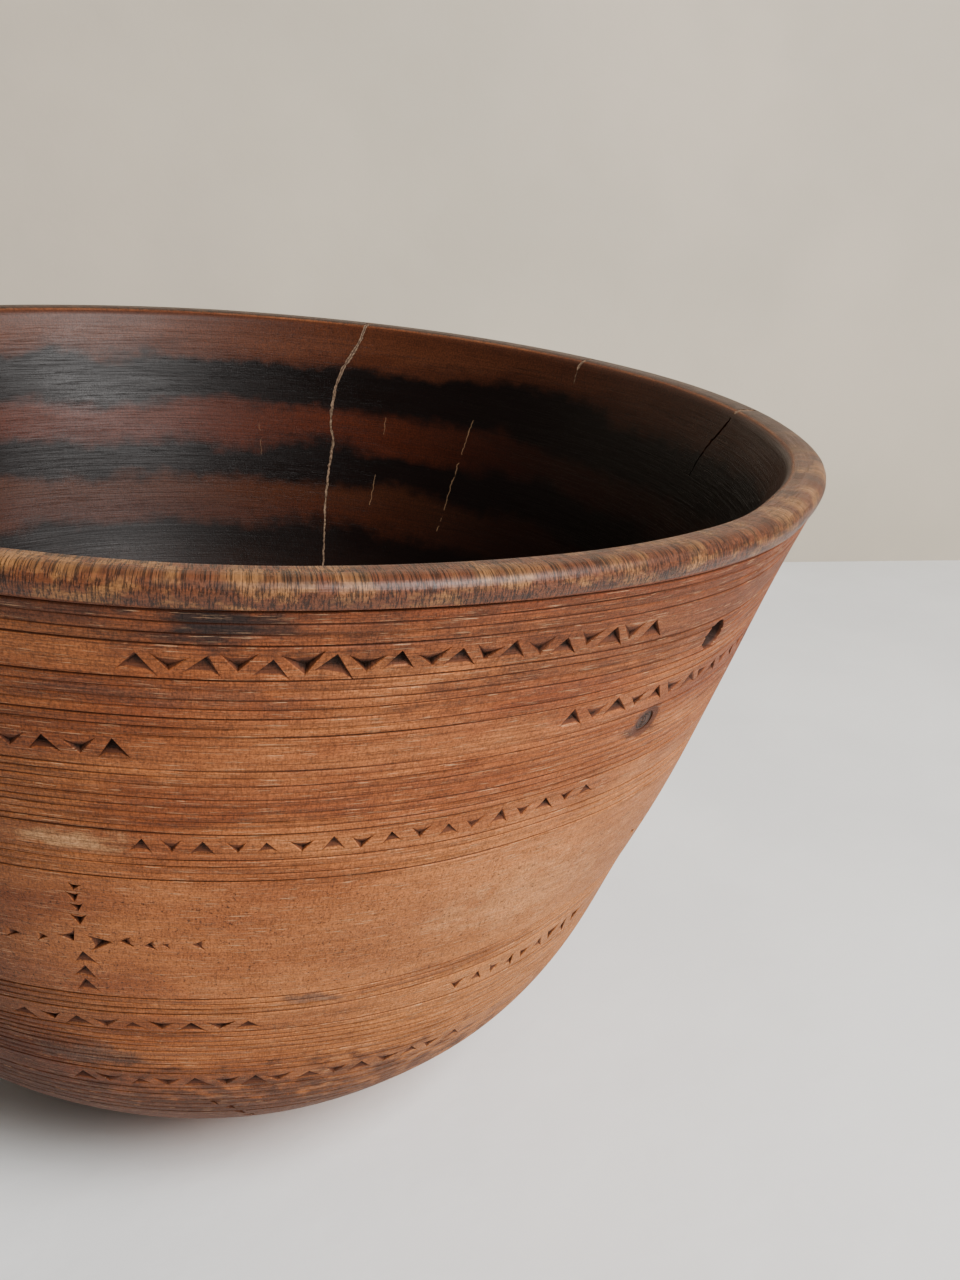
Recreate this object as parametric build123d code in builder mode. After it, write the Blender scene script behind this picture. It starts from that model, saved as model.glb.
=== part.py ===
"""Carved wooden bowl: one block of wood, cracked with age and mended with filler.

Millimetres, +Z up. The origin is the centre of the foot, on the surface that the bowl stands on.
Angles run round the bowl from its front (-Y): 0 is the front, 90 the right side (+X), 180 the back.
Distances "down the wall" are measured along the outer wall from the lip.
"""

import os
from math import atan2, cos, degrees, radians, sin

from build123d import *

# Driving dimensions
rim_radius = 200
bowl_height = 242
foot_radius = 52
lip_width = 13
floor_thickness = 16
lip_outer_round = 3.5
lip_inner_round = 5
foot_round = 6

# Scribed V grooves, in groups of (first, last, how many) down the wall
groove_width = 1.3
groove_depth = 0.6
groove_groups = [
    (8.6, 18, 4),  # under the lip
    (28.4, 45.8, 7),
    (56.4, 77.6, 9),
    (86.8, 94.6, 4),
    (144.4, 151.6, 4),  # below the plain field
    (160.4, 182, 9),
    (191.4, 206, 5),  # on the underside
]

# Open knot hole: a slanting hollow that stops inside the wall
knot_hole_angle = 44.4
knot_hole_down = 35
knot_hole_radius = 4.6
knot_hole_half_length = 9.5
knot_hole_slant = 38

# Tight knot, a tapered plug that sits at the bottom of a shallow dish in the wall
knot_angle = 39.6
knot_down = 62
knot_radius = 3.6
knot_depth = 6
knot_taper = 8
knot_dish_depth = 0.9
knot_dish_taper = 65  # how wide the dish opens, in degrees from the knot's axis

# Cracks on the inside of the wall
filler_depth = 5
open_crack_angle = 98
open_crack_depth = 4

# The outline of the wall as (radius, height). The hollow follows it, a wall's thickness inside.
outside_points = [(foot_radius, 0), (88, 17.5), (119, 39), (135, 61), (150, 97), (167.5, 145), (183, 193.5)]
outside_points.append((rim_radius, bowl_height))
outside_ends = [(0.93, 0.36), (0.33, 0.94)]  # direction of the outline at the foot and at the lip
hollow_points = [(55, 20), (93, 36), (121, 62), (138, 98), (154.5, 145), (170, 193.5)]
hollow_points.append((rim_radius - lip_width, bowl_height))
hollow_ends = [(1, 0), (0.33, 0.94)]

# The wall's outline as a curve, for finding places down the wall
with BuildLine() as wall_curve:
    Spline(*outside_points, tangents=outside_ends)
wall_edge = wall_curve.line.edges()[0]


def around(angle):
    """Outward direction and sideways direction at an angle round the bowl."""
    turn = radians(angle)
    return Vector(sin(turn), -cos(turn), 0), Vector(cos(turn), sin(turn), 0)


def down_the_wall(distance):
    """Point (radius, height) and direction on the outer wall, at a distance down from the lip."""
    station = wall_edge.length - distance
    point = wall_edge.position_at(station, position_mode=PositionMode.LENGTH)
    slope = wall_edge.tangent_at(station, position_mode=PositionMode.LENGTH)
    return point, slope


def wall_plane(angle, distance):
    """Plane lying on the outer wall: local Z points out of the wood and local Y up the wall."""
    outward, sideways = around(angle)
    point, slope = down_the_wall(distance)
    up_wall = outward * slope.X + Vector(0, 0, slope.Y)
    centre = outward * point.X + Vector(0, 0, point.Y)
    return Plane(origin=centre, x_dir=sideways, z_dir=sideways.cross(up_wall))


def upright_plane(angle):
    """Upright plane through the bowl's axis that faces out at an angle: local Y is height."""
    outward, sideways = around(angle)
    return Plane(origin=(0, 0, 0), x_dir=sideways, z_dir=outward)


def hollow_outline(grow=0):
    """Draw the half section of the hollow, with its wall moved outwards by grow."""
    wall = [(radius + grow, height) for radius, height in hollow_points]
    floor = (0, floor_thickness)
    over_lip = (wall[-1][0], bowl_height + 5)
    bottom = Spline(floor, *wall, tangents=hollow_ends)
    Polyline(bottom @ 1, over_lip, (0, over_lip[1]), floor)


# The bowl before it is decorated: outline, hollow and rounded lip
with BuildPart() as blank:
    with BuildSketch(Plane.XZ):
        with BuildLine():
            outside = Spline(*outside_points, tangents=outside_ends)
            Polyline(outside @ 1, (0, bowl_height), (0, 0), outside @ 0)
        make_face()
        with BuildLine():
            hollow_outline()
        make_face(mode=Mode.SUBTRACT)
    revolve(axis=Axis.Z)
    lip_edges = edges().filter_by(GeomType.CIRCLE).group_by(Axis.Z)[-1].sort_by(SortBy.RADIUS)
    fillet(lip_edges[-1], radius=lip_outer_round)
    lip_edges = edges().filter_by(GeomType.CIRCLE).group_by(Axis.Z)[-1].sort_by(SortBy.RADIUS)
    fillet(lip_edges[0], radius=lip_inner_round)
    fillet(edges().filter_by(GeomType.CIRCLE).group_by(Axis.Z)[0], radius=foot_round)

# The layer of the wall that the filler reaches into: the hollow, grown by the filler's depth
with BuildPart() as filled_layer:
    with BuildSketch(Plane.XZ):
        with BuildLine():
            hollow_outline(grow=filler_depth)
        make_face()
    revolve(axis=Axis.Z)

# The rings scribed round the outside, as one set of V-shaped cuts
groove_stations = []
for first, last, count in groove_groups:
    groove_stations += [first + (last - first) * i / (count - 1) for i in range(count)]

with BuildPart() as grooves:
    with BuildSketch(Plane.XZ):
        for station in groove_stations:
            point, slope = down_the_wall(station)
            steepness = degrees(atan2(slope.Y, slope.X))
            half = groove_width / 2
            with Locations(Location((point.X, point.Y, 0), (0, 0, steepness))):
                Polygon((-half, -0.2), (half, -0.2), (0, groove_depth), align=None)
    revolve(axis=Axis.Z)

# The long crack's filler: a crooked ribbon that narrows as it runs down from the lip
with BuildPart() as crack_filler_long:
    with BuildSketch(upright_plane(163.5)):
        with BuildLine():
            left_side = Polyline((-7.6, 243), (-3, 227), (2.7, 213), (3.3, 198), (0.7, 188), (2, 166), (-0.6, 138))
            right_side = Polyline((-5.3, 243), (-0.7, 226), (4.9, 213), (5.2, 197), (2.5, 188), (3.5, 166), (0.8, 138))
            Polyline(left_side @ 1, (-0.1, 115), (0.5, 115), right_side @ 1)
            Line(left_side @ 0, right_side @ 0)
        make_face()
    extrude(amount=rim_radius)
    add(filled_layer.part, mode=Mode.INTERSECT)
    add(blank.part, mode=Mode.INTERSECT)
crack_filler_long.part.label = "crack_filler_long"

# The sliver of filler at the lip, right of the long crack
with BuildPart() as crack_filler_middle:
    with BuildSketch(upright_plane(127.8)):
        with BuildLine():
            Polyline((-1.1, 243), (1.2, 243), (0.7, 234), (0.2, 229), (-0.5, 229), (-0.9, 236), (-1.1, 243))
        make_face()
    extrude(amount=rim_radius)
    add(filled_layer.part, mode=Mode.INTERSECT)
    add(blank.part, mode=Mode.INTERSECT)
crack_filler_middle.part.label = "crack_filler_middle"

# The crumb of filler at the lip, above the open crack
with BuildPart() as crack_filler_right:
    with BuildSketch(upright_plane(96.4)):
        with BuildLine():
            Polyline((-2.2, 243), (1.7, 243), (1.1, 239), (-0.4, 237.2), (-1.6, 239.4), (-2.2, 243))
        make_face()
    extrude(amount=rim_radius)
    add(filled_layer.part, mode=Mode.INTERSECT)
    add(blank.part, mode=Mode.INTERSECT)
crack_filler_right.part.label = "crack_filler_right"

# The open crack below that crumb, as the piece of wall that it leaves empty
with BuildPart() as open_crack:
    with BuildSketch(upright_plane(open_crack_angle)):
        with BuildLine():
            Polyline((-4.2, 235), (-3.2, 235), (1.2, 226), (4.4, 216), (5.2, 206), (3.4, 216), (0, 226), (-4.2, 235))
        make_face()
    extrude(amount=rim_radius)
    with BuildSketch(Plane.XZ):
        with BuildLine():
            hollow_outline(grow=open_crack_depth)
        make_face()
    revolve(axis=Axis.Z, mode=Mode.INTERSECT)

# The tight knot: a tapered plug whose outer end is the bottom of a shallow dish in the wall
knot_plane = wall_plane(knot_angle, knot_down)
knot_face = knot_plane.offset(-knot_dish_depth)
with BuildPart() as tight_knot:
    with BuildSketch(knot_face):
        Circle(knot_radius)
    extrude(amount=-knot_depth, taper=knot_taper)
tight_knot.part.label = "tight_knot"

with BuildPart() as knot_seat:
    add(tight_knot.part)
    with BuildSketch(knot_face):
        Circle(knot_radius)
    extrude(amount=2 * knot_dish_depth, taper=-knot_dish_taper)

# The knot hole's hollow: an egg shape that leans up and to the right as it goes in
with BuildPart() as knot_hole:
    with BuildSketch(Plane.XZ):
        Ellipse(knot_hole_radius, knot_hole_half_length)
        Rectangle(knot_hole_radius, 2 * knot_hole_half_length, align=(Align.MAX, Align.CENTER), mode=Mode.SUBTRACT)
    revolve(axis=Axis.Z)
hole_place = wall_plane(knot_hole_angle, knot_hole_down).location * Location((0, 0, 0), (knot_hole_slant, 0, 0))

# The finished bowl
with BuildPart() as bowl_body:
    add(blank.part)
    add(grooves.part, mode=Mode.SUBTRACT)
    add(knot_seat.part, mode=Mode.SUBTRACT)
    add(knot_hole.part.moved(hole_place), mode=Mode.SUBTRACT)
    add(crack_filler_long.part, mode=Mode.SUBTRACT)
    add(crack_filler_middle.part, mode=Mode.SUBTRACT)
    add(crack_filler_right.part, mode=Mode.SUBTRACT)
    add(open_crack.part, mode=Mode.SUBTRACT)
bowl_body.part.label = "bowl_body"

os.makedirs("parts", exist_ok=True)
for piece in (bowl_body, crack_filler_long, crack_filler_middle, crack_filler_right, tight_knot):
    export_step(piece.part, f"parts/{piece.part.label}.step")
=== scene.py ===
"""Carved wooden bowl: its hand-cut skin, its mended cracks, its knots and its finishes, in metres.

Angles run round the bowl in degrees from its front (-Y): 0 is the front, 90 the right side (+X).
"Down" is a distance along the wall from the lip, on the outside or in the hollow.
"""
import logging
from dataclasses import dataclass, field, replace
from enum import Enum
from math import cos, pi, radians, sin, sqrt, tan

import bpy
import numpy as np
from mathutils import Matrix, Vector


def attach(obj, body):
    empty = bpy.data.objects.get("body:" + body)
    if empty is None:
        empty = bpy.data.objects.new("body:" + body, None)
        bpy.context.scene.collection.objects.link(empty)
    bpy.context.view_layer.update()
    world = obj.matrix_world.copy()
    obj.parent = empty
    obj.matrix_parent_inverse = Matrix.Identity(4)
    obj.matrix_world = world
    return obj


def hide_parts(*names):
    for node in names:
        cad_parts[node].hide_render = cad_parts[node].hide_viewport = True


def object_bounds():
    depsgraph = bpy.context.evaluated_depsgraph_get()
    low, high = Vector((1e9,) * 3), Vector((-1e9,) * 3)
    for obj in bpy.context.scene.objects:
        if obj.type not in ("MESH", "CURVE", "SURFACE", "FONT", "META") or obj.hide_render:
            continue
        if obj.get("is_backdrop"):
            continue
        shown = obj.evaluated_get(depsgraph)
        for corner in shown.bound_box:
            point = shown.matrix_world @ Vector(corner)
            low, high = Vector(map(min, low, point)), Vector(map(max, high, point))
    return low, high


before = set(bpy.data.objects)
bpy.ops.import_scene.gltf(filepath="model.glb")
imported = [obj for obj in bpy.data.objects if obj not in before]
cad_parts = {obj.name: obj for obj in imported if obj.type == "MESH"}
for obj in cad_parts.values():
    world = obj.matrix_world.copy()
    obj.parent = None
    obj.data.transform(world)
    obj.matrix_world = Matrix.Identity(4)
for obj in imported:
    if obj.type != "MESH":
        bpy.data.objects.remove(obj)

MM = 0.001
ROOT = "root"
log = logging.getLogger("bowl")
Point = tuple[float, float]
Colour = tuple[float, float, float, float]
Socket = bpy.types.NodeSocket
UP = np.array([0, 0, 1.0])


class Side(Enum):
    """Which face of the wall a place is on."""

    OUTSIDE = "outside"
    HOLLOW = "hollow"


# ---------------------------------------------------------------- the wall's shape


def smooth_line(points: list[Point], ends: tuple[Point, Point], step: float) -> np.ndarray:
    """Draw one smooth line through points, as a bent batten would lie.

    Args:
        points: places that the line passes through, as (radius, height).
        ends: direction of the line at its first and last point.
        step: spacing of the returned places along the line.

    Returns:
        An array of (radius, height) rows.
    """
    spots = np.array(points, float)
    run = np.concatenate([[0], np.cumsum(np.linalg.norm(np.diff(spots, axis=0), axis=1))])
    gaps = np.diff(run)
    rows = len(spots)
    system = np.zeros((rows, rows))
    wanted = np.zeros((rows, 2))
    system[0, 0] = system[-1, -1] = 1
    wanted[0] = np.array(ends[0]) / np.linalg.norm(ends[0])
    wanted[-1] = np.array(ends[1]) / np.linalg.norm(ends[1])
    slopes = np.diff(spots, axis=0) / gaps[:, None]
    for i in range(1, rows - 1):
        before, after = gaps[i - 1], gaps[i]
        system[i, i - 1 : i + 2] = after, 2 * (before + after), before
        wanted[i] = 3 * (after * slopes[i - 1] + before * slopes[i])
    heading = np.linalg.solve(system, wanted)
    at = np.linspace(0, run[-1], max(2, int(run[-1] / step)))
    span = np.clip(np.searchsorted(run, at, side="right") - 1, 0, rows - 2)
    t = ((at - run[span]) / gaps[span])[:, None]
    gap = gaps[span][:, None]
    return (
        (2 * t**3 - 3 * t**2 + 1) * spots[span]
        + (t**3 - 2 * t**2 + t) * gap * heading[span]
        + (3 * t**2 - 2 * t**3) * spots[span + 1]
        + (t**3 - t**2) * gap * heading[span + 1]
    )


def rounded_corner(before: Point, corner: Point, after: Point, radius: float, count: int) -> list[Point]:
    """Round a corner of an outline with an arc.

    Args:
        before: a place on the line that comes into the corner.
        corner: the sharp corner.
        after: a place on the line that leaves it.
        radius: radius of the arc.
        count: how many places to return along the arc.

    Returns:
        Places along the arc, in order.
    """
    middle = np.array(corner, float)
    back = np.array(before) - middle
    ahead = np.array(after) - middle
    back, ahead = back / np.linalg.norm(back), ahead / np.linalg.norm(ahead)
    half = np.arccos(np.clip(back @ ahead, -1, 1)) / 2
    centre = middle + (back + ahead) / np.linalg.norm(back + ahead) * radius / sin(half)
    start = middle + back * radius / tan(half) - centre
    finish = middle + ahead * radius / tan(half) - centre
    sweep = pi - 2 * half
    arc = []
    for t in np.linspace(0, 1, count):
        place = centre + (start * sin((1 - t) * sweep) + finish * sin(t * sweep)) / sin(sweep)
        arc.append((float(place[0]), float(place[1])))
    return arc


@dataclass
class Wall:
    """The bowl's wall: its outside, its hollow, and places on them."""

    lip_width: float = 13 * MM
    foot_radius: float = 52 * MM
    floor_thickness: float = 16 * MM
    # places in mm that the two faces pass through between the floor and the lip
    outside_knots: tuple[Point, ...] = (
        (88, 17.5), (119, 39), (135, 61), (150, 97), (167.5, 145), (183, 193.5),
    )
    hollow_knots: tuple[Point, ...] = (
        (55, 20), (93, 36), (121, 62), (138, 98), (154.5, 145), (170, 193.5),
    )
    foot_heading: Point = (0.93, 0.36)
    lip_heading: Point = (0.33, 0.94)
    rim_radius: float = 200 * MM
    lip_proud: float = 0.5 * MM  # the plain band under the lip stands this far out
    outer_round: float = 4 * MM
    inner_round: float = 5 * MM
    outer_places: int = 7  # corners along each rounding
    inner_places: int = 6
    lip_top: float = 4.5 * MM  # down to here a place is on the lip's top
    step: float = 0.5 * MM

    def __post_init__(self) -> None:
        """Draw both lines, from the lip down."""
        self.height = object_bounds()[1][2]
        lip = (self.rim_radius, self.height)
        knots = [(r * MM, z * MM) for r, z in self.outside_knots]
        foot = (self.foot_radius, 0)
        line = smooth_line([foot, *knots, lip], (self.foot_heading, self.lip_heading), self.step)
        self.outside = line[::-1]
        knots = [(r * MM, z * MM) for r, z in self.hollow_knots]
        inner_lip = (self.rim_radius - self.lip_width, self.height)
        floor = (0, self.floor_thickness)
        line = smooth_line([floor, *knots, inner_lip], ((1, 0), self.lip_heading), self.step)
        self.hollow = line[::-1]

    def line(self, side: Side) -> np.ndarray:
        """The line of one face, as (radius, height) rows from the lip down."""
        return self.outside if side is Side.OUTSIDE else self.hollow

    def run(self, side: Side) -> np.ndarray:
        """Distance down from the lip at each row of a face's line."""
        steps = np.linalg.norm(np.diff(self.line(side), axis=0), axis=1)
        return np.concatenate([[0], np.cumsum(steps)])

    def place(self, side: Side, down: np.ndarray | float) -> tuple[np.ndarray, np.ndarray]:
        """Find places on a face.

        Args:
            side: which face.
            down: distance or distances down from the lip.

        Returns:
            (radius, height) rows, and the direction out of the wood at each.
        """
        line, run = self.line(side), self.run(side)
        down = np.atleast_1d(down)
        spot = np.stack([np.interp(down, run, line[:, k]) for k in (0, 1)], 1)
        heading = np.gradient(line, axis=0)
        along = np.stack([np.interp(down, run, heading[:, k]) for k in (0, 1)], 1)
        along /= np.linalg.norm(along, axis=1)[:, None]
        turn = 1 if side is Side.OUTSIDE else -1
        return spot, np.stack([-along[:, 1] * turn, along[:, 0] * turn], 1)

    def lip(self) -> list[Point]:
        """Draw the rounded top of the wall, from the outside over to the hollow.

        Returns:
            Places as (radius, height).
        """
        outer = (self.rim_radius + self.lip_proud, self.height)
        inner = (self.rim_radius - self.lip_width, self.height)
        lean, fall = 3.3 * MM, 9.4 * MM  # as lip_heading
        below_outer = (outer[0] - lean, self.height - fall)
        below_inner = (inner[0] - lean, self.height - fall)
        arc = rounded_corner(below_outer, outer, inner, self.outer_round, self.outer_places)
        return arc + rounded_corner(outer, inner, below_inner, self.inner_round, self.inner_places)

    def over_lip(self) -> tuple[np.ndarray, np.ndarray]:
        """Draw the line from the outside over the lip into the hollow.

        Returns:
            (radius, height) rows, and the run of each row from the middle of the lip.
        """
        outside, _ = self.place(Side.OUTSIDE, np.arange(30, 6, -1) * MM)
        hollow, _ = self.place(Side.HOLLOW, np.arange(4, 220, 1) * MM)
        arc = np.array(self.lip())
        line = np.vstack([outside, arc, hollow])
        run = np.concatenate([[0], np.cumsum(np.linalg.norm(np.diff(line, axis=0), axis=1))])
        flat_ends = len(outside) + self.outer_places
        return line, run - (run[flat_ends - 1] + run[flat_ends]) / 2

    def bench(self, side: Side, angle: float, down: float, turn: float = 0) -> Matrix:
        """Lay a frame on the wall: Z out of the wood, Y up the wall.

        Args:
            side: which face it lies on.
            angle: degrees round the bowl.
            down: distance down from the lip.
            turn: degrees that it is turned about its own Z.

        Returns:
            The frame as a matrix.
        """
        spot, out = self.place(side, down)
        a = radians(angle)
        outward, sideways = Vector((sin(a), -cos(a), 0)), Vector((cos(a), sin(a), 0))
        normal = outward * float(out[0][0]) + Vector((0, 0, float(out[0][1])))
        if side is Side.HOLLOW:
            sideways = -sideways
        up_wall = normal.cross(sideways)
        origin = outward * float(spot[0][0]) + Vector((0, 0, float(spot[0][1])))
        axes = Matrix((sideways, up_wall, normal)).transposed().to_4x4()
        return Matrix.Translation(origin) @ axes @ Matrix.Rotation(radians(turn), 4, "Z")

    def measure(self, points: np.ndarray) -> tuple[np.ndarray, np.ndarray, np.ndarray]:
        """Say where points lie in relation to the plain wall.

        Args:
            points: places in the bowl's frame.

        Returns:
            Distance down from the lip, depth under the nearer face, and 0 outside to 1 in the hollow.
        """
        flat = np.stack([np.hypot(points[:, 0], points[:, 1]), points[:, 2]], 1)
        found = []
        for side in Side:
            line, run = self.line(side), self.run(side)
            nearest = nearest_rows(flat, line)
            spot, out = self.place(side, run[nearest])
            turn = 1 if side is Side.OUTSIDE else -1
            along = np.stack([out[:, 1], -out[:, 0]], 1) * turn
            away = flat - spot
            found.append((run[nearest] + (away * along).sum(1), -(away * out).sum(1)))
        (down_out, deep_out), (down_in, deep_in) = found
        hollow = deep_in < deep_out
        across = (self.rim_radius - flat[:, 0]) / self.lip_width
        on_lip = flat[:, 1] > self.height - self.lip_top
        inside = np.where(on_lip, np.clip(across, 0, 1), hollow.astype(float))
        down = np.where(hollow, down_in, down_out)
        return down, np.where(hollow, deep_in, deep_out), inside


def nearest_rows(flat: np.ndarray, rows: np.ndarray, parts: int = 200) -> np.ndarray:
    """Find the nearest row of an outline for each place.

    Args:
        flat: places as (radius, height).
        rows: the outline as (radius, height).
        parts: how many parts to work through, to save memory.

    Returns:
        The number of the nearest row for each place.
    """
    found = []
    for part in np.array_split(flat, parts):
        away = part[:, None] - rows[None]
        found.append(np.argmin((away**2).sum(2), 1))
    return np.concatenate(found)


def angle_of(points: np.ndarray) -> np.ndarray:
    """Angle round the bowl of each point, in radians from the front."""
    return np.arctan2(points[:, 0], -points[:, 1])


def outward_at(angle: np.ndarray) -> np.ndarray:
    """Level direction away from the bowl's axis at each angle, in radians from the front."""
    return np.stack([np.sin(angle), -np.cos(angle), 0 * angle], 1)


@dataclass
class Waves:
    """Smooth unevenness in space: a sum of slow waves that point every way."""

    seed: int
    size: float  # typical height
    shortest: float  # wave lengths
    longest: float
    count: int = 14

    def at(self, points: np.ndarray) -> np.ndarray:
        """Add the waves up.

        Args:
            points: places in the bowl's frame.

        Returns:
            The height at each place.
        """
        rng = np.random.default_rng(self.seed)
        total = np.zeros(len(points))
        for _ in range(self.count):
            heading = rng.normal(size=3)
            heading /= np.linalg.norm(heading)
            length = rng.uniform(self.shortest, self.longest)
            phase = rng.uniform(0, 2 * pi)
            total += np.sin(points @ heading * 2 * pi / length + phase)
        return total * self.size / sqrt(self.count)


@dataclass
class HandWork:
    """How the maker's hand and age bent the round form: one smooth warp for every piece."""

    wall: Wall
    lumps: Waves = field(default_factory=lambda: Waves(3, 0.42 * MM, 45 * MM, 120 * MM))
    wander: Waves = field(default_factory=lambda: Waves(8, 0.45 * MM, 60 * MM, 200 * MM))
    foot_grip: float = 12 * MM  # up to here the foot keeps its flatness
    lip_grip: float = 20 * MM  # down to here the lip keeps its height
    climb: float = 6 * MM  # how far the rings under the plain field climb on the right
    climb_down: float = 148 * MM  # the middle of those rings
    climb_reach: float = 9 * MM
    climb_starts: float = 8  # degrees round the bowl
    climb_whole: float = 50
    climb_fades: float = 60
    climb_gone: float = 100

    def bend(self, points: np.ndarray) -> np.ndarray:
        """Move points to where the worked wood puts them.

        Args:
            points: places on the plain turned form.

        Returns:
            The same places on the worked one.
        """
        down, _, inside = self.wall.measure(points)
        angle = angle_of(points)
        outward = outward_at(angle)
        _, out = self.wall.place(Side.OUTSIDE, down)
        normal = outward * out[:, :1] + UP * out[:, 1:]
        up_wall = outward * -out[:, 1:] + UP * out[:, :1]
        degrees = np.degrees(angle)
        grip = np.clip(points[:, 2] / self.foot_grip, 0, 1)
        below_lip = np.clip(down / self.lip_grip, 0, 1)
        rise = np.exp(-(((down - self.climb_down) / self.climb_reach) ** 2)) * (inside < 0.5)
        turn = np.clip((degrees - self.climb_starts) / (self.climb_whole - self.climb_starts), 0, 1)
        fade = np.clip((self.climb_gone - degrees) / (self.climb_gone - self.climb_fades), 0, 1)
        climb = self.climb * rise * turn * turn * (3 - 2 * turn) * fade
        push = self.lumps.at(points) * grip
        slide = self.wander.at(points) * grip * below_lip + climb
        return points + normal * push[:, None] + up_wall * slide[:, None]


# ---------------------------------------------------------------- tools that cut the wood


@dataclass(frozen=True)
class GrooveGroup:
    """A set of rings scribed side by side."""

    first: float  # mm down the wall
    last: float
    count: int
    depth: float = 0.42  # mm
    outer_deeper: float = 1.5  # the first and the last ring are this much deeper

    def stations(self) -> list[tuple[float, float]]:
        """Space the rings.

        Returns:
            Where each ring lies and how deep it is, in mm.
        """
        rings = []
        for i in range(self.count):
            deeper = self.outer_deeper if i in (0, self.count - 1) else 1
            station = self.first + (self.last - self.first) * i / (self.count - 1)
            rings.append((station, self.depth * deeper))
        return rings


@dataclass(frozen=True)
class Chip:
    """One three-cut chip: two straight stabs that meet at a deep point, and a sloping cut out."""

    width: float  # mm, as all its sizes
    height: float
    depth: float
    tail: float = 0.22  # how far the two stabs overrun the chip's base, as a share
    above: float = 0.9  # how far the cutter stands out of the wood

    def outline(self, rng: np.random.Generator) -> np.ndarray:
        """Draw the chip's uneven outline on the surface.

        Args:
            rng: source of the unevenness.

        Returns:
            Its point, tail, base, base and tail, in mm.
        """
        w, h, t = self.width / 2, self.height / 2, self.tail
        even = np.array([(0, h), (-w * (1 + t), -h * (1 + 1.6 * t)), (w * (1 + t), -h * (1 + 1.6 * t))])
        point, left, right = even * rng.uniform(0.82, 1.12) + rng.normal(0, 0.09, even.shape) * self.height
        base_left = 0.64 * left + 0.16 * right + 0.2 * point
        base_right = 0.16 * left + 0.64 * right + 0.2 * point
        return np.array([point, left, base_left, base_right, right])

    def mesh(self, rng: np.random.Generator) -> tuple[np.ndarray, list[tuple[int, ...]]]:
        """Shape the solid that the three cuts take out.

        Args:
            rng: source of the unevenness.

        Returns:
            Its corners in mm, and its faces.
        """
        rim = self.outline(rng)
        sides = len(rim)
        depth = self.depth * rng.uniform(0.75, 1.25)
        floor = np.column_stack([rim, np.zeros(sides)])
        top = np.column_stack([rim, np.full(sides, self.above)])
        deep = np.array([[rng.normal(0, 0.06) * self.width, self.height * 0.27, -depth]])
        corners = np.vstack([floor, top, deep])
        faces: list[tuple[int, ...]] = [tuple(range(sides, 2 * sides))]
        for i in range(sides):
            j = (i + 1) % sides
            faces.append((i, j, j + sides, i + sides))
            faces.append((j, i, 2 * sides))
        return corners, faces


@dataclass(frozen=True)
class ZigzagBand:
    """Rows of chips that point up and down the wall by turns, with plain gaps between the rows."""

    down: float  # mm
    first: float  # degrees round the bowl of the first chip, and of the last
    last: float
    chips: int
    repeats: int
    chip: Chip
    every: float = 72  # degrees from one row's start to the next
    starts_down: bool = False

    def cuts(self) -> list[tuple[float, float, float]]:
        """Space the chips.

        Returns:
            Angle, distance down in mm and turn in degrees of every chip in the band.
        """
        places = []
        for segment in range(self.repeats):
            for i in range(self.chips):
                along = i / (self.chips - 1)
                angle = self.first + (self.last - self.first) * along + segment * self.every
                points_down = (i % 2 == 1) != self.starts_down
                places.append((angle, self.down, 180.0 if points_down else 0.0))
        return places


def new_mesh(name: str, corners: np.ndarray, faces: list[tuple[int, ...]]) -> bpy.types.Object:
    """Make an object and put it in the scene.

    Args:
        name: the object's name.
        corners: places of its corners.
        faces: numbers of the corners of each face.

    Returns:
        The new object.
    """
    mesh = bpy.data.meshes.new(name)
    mesh.from_pydata([tuple(c) for c in corners], [], faces)
    mesh.update()
    thing = bpy.data.objects.new(name, mesh)
    bpy.context.scene.collection.objects.link(thing)
    return thing


def pick(thing: bpy.types.Object) -> None:
    """Make one object the only selected one, and the active one.

    Args:
        thing: the object.
    """
    bpy.ops.object.select_all(action="DESELECT")
    thing.select_set(True)
    bpy.context.view_layer.objects.active = thing


def corners_of(thing: bpy.types.Object) -> np.ndarray:
    """Read an object's corners.

    Args:
        thing: the object.

    Returns:
        A row for each corner.
    """
    flat = np.zeros(len(thing.data.vertices) * 3)
    thing.data.vertices.foreach_get("co", flat)
    return flat.reshape(-1, 3)


def move_corners(thing: bpy.types.Object, corners: np.ndarray) -> None:
    """Write an object's corners back.

    Args:
        thing: the object.
        corners: a row for each of its corners.
    """
    thing.data.vertices.foreach_set("co", corners.ravel())
    thing.data.update()


def apply_modifier(thing: bpy.types.Object, kind: str, **settings: object) -> None:
    """Add a modifier and apply it.

    Args:
        thing: the object.
        kind: the modifier's type.
        settings: properties to set on it.
    """
    pick(thing)
    modifier = thing.modifiers.new(kind.lower(), kind)
    for key, value in settings.items():
        setattr(modifier, key, value)
    bpy.ops.object.modifier_apply(modifier=modifier.name)


def cut_away(thing: bpy.types.Object, cutter: bpy.types.Object) -> None:
    """Cut one object out of another and throw the cutter away.

    Args:
        thing: the object that is cut.
        cutter: the shape that is taken out.
    """
    apply_modifier(thing, "BOOLEAN", operation="DIFFERENCE", solver="EXACT", object=cutter)
    bpy.data.objects.remove(cutter)


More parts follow.
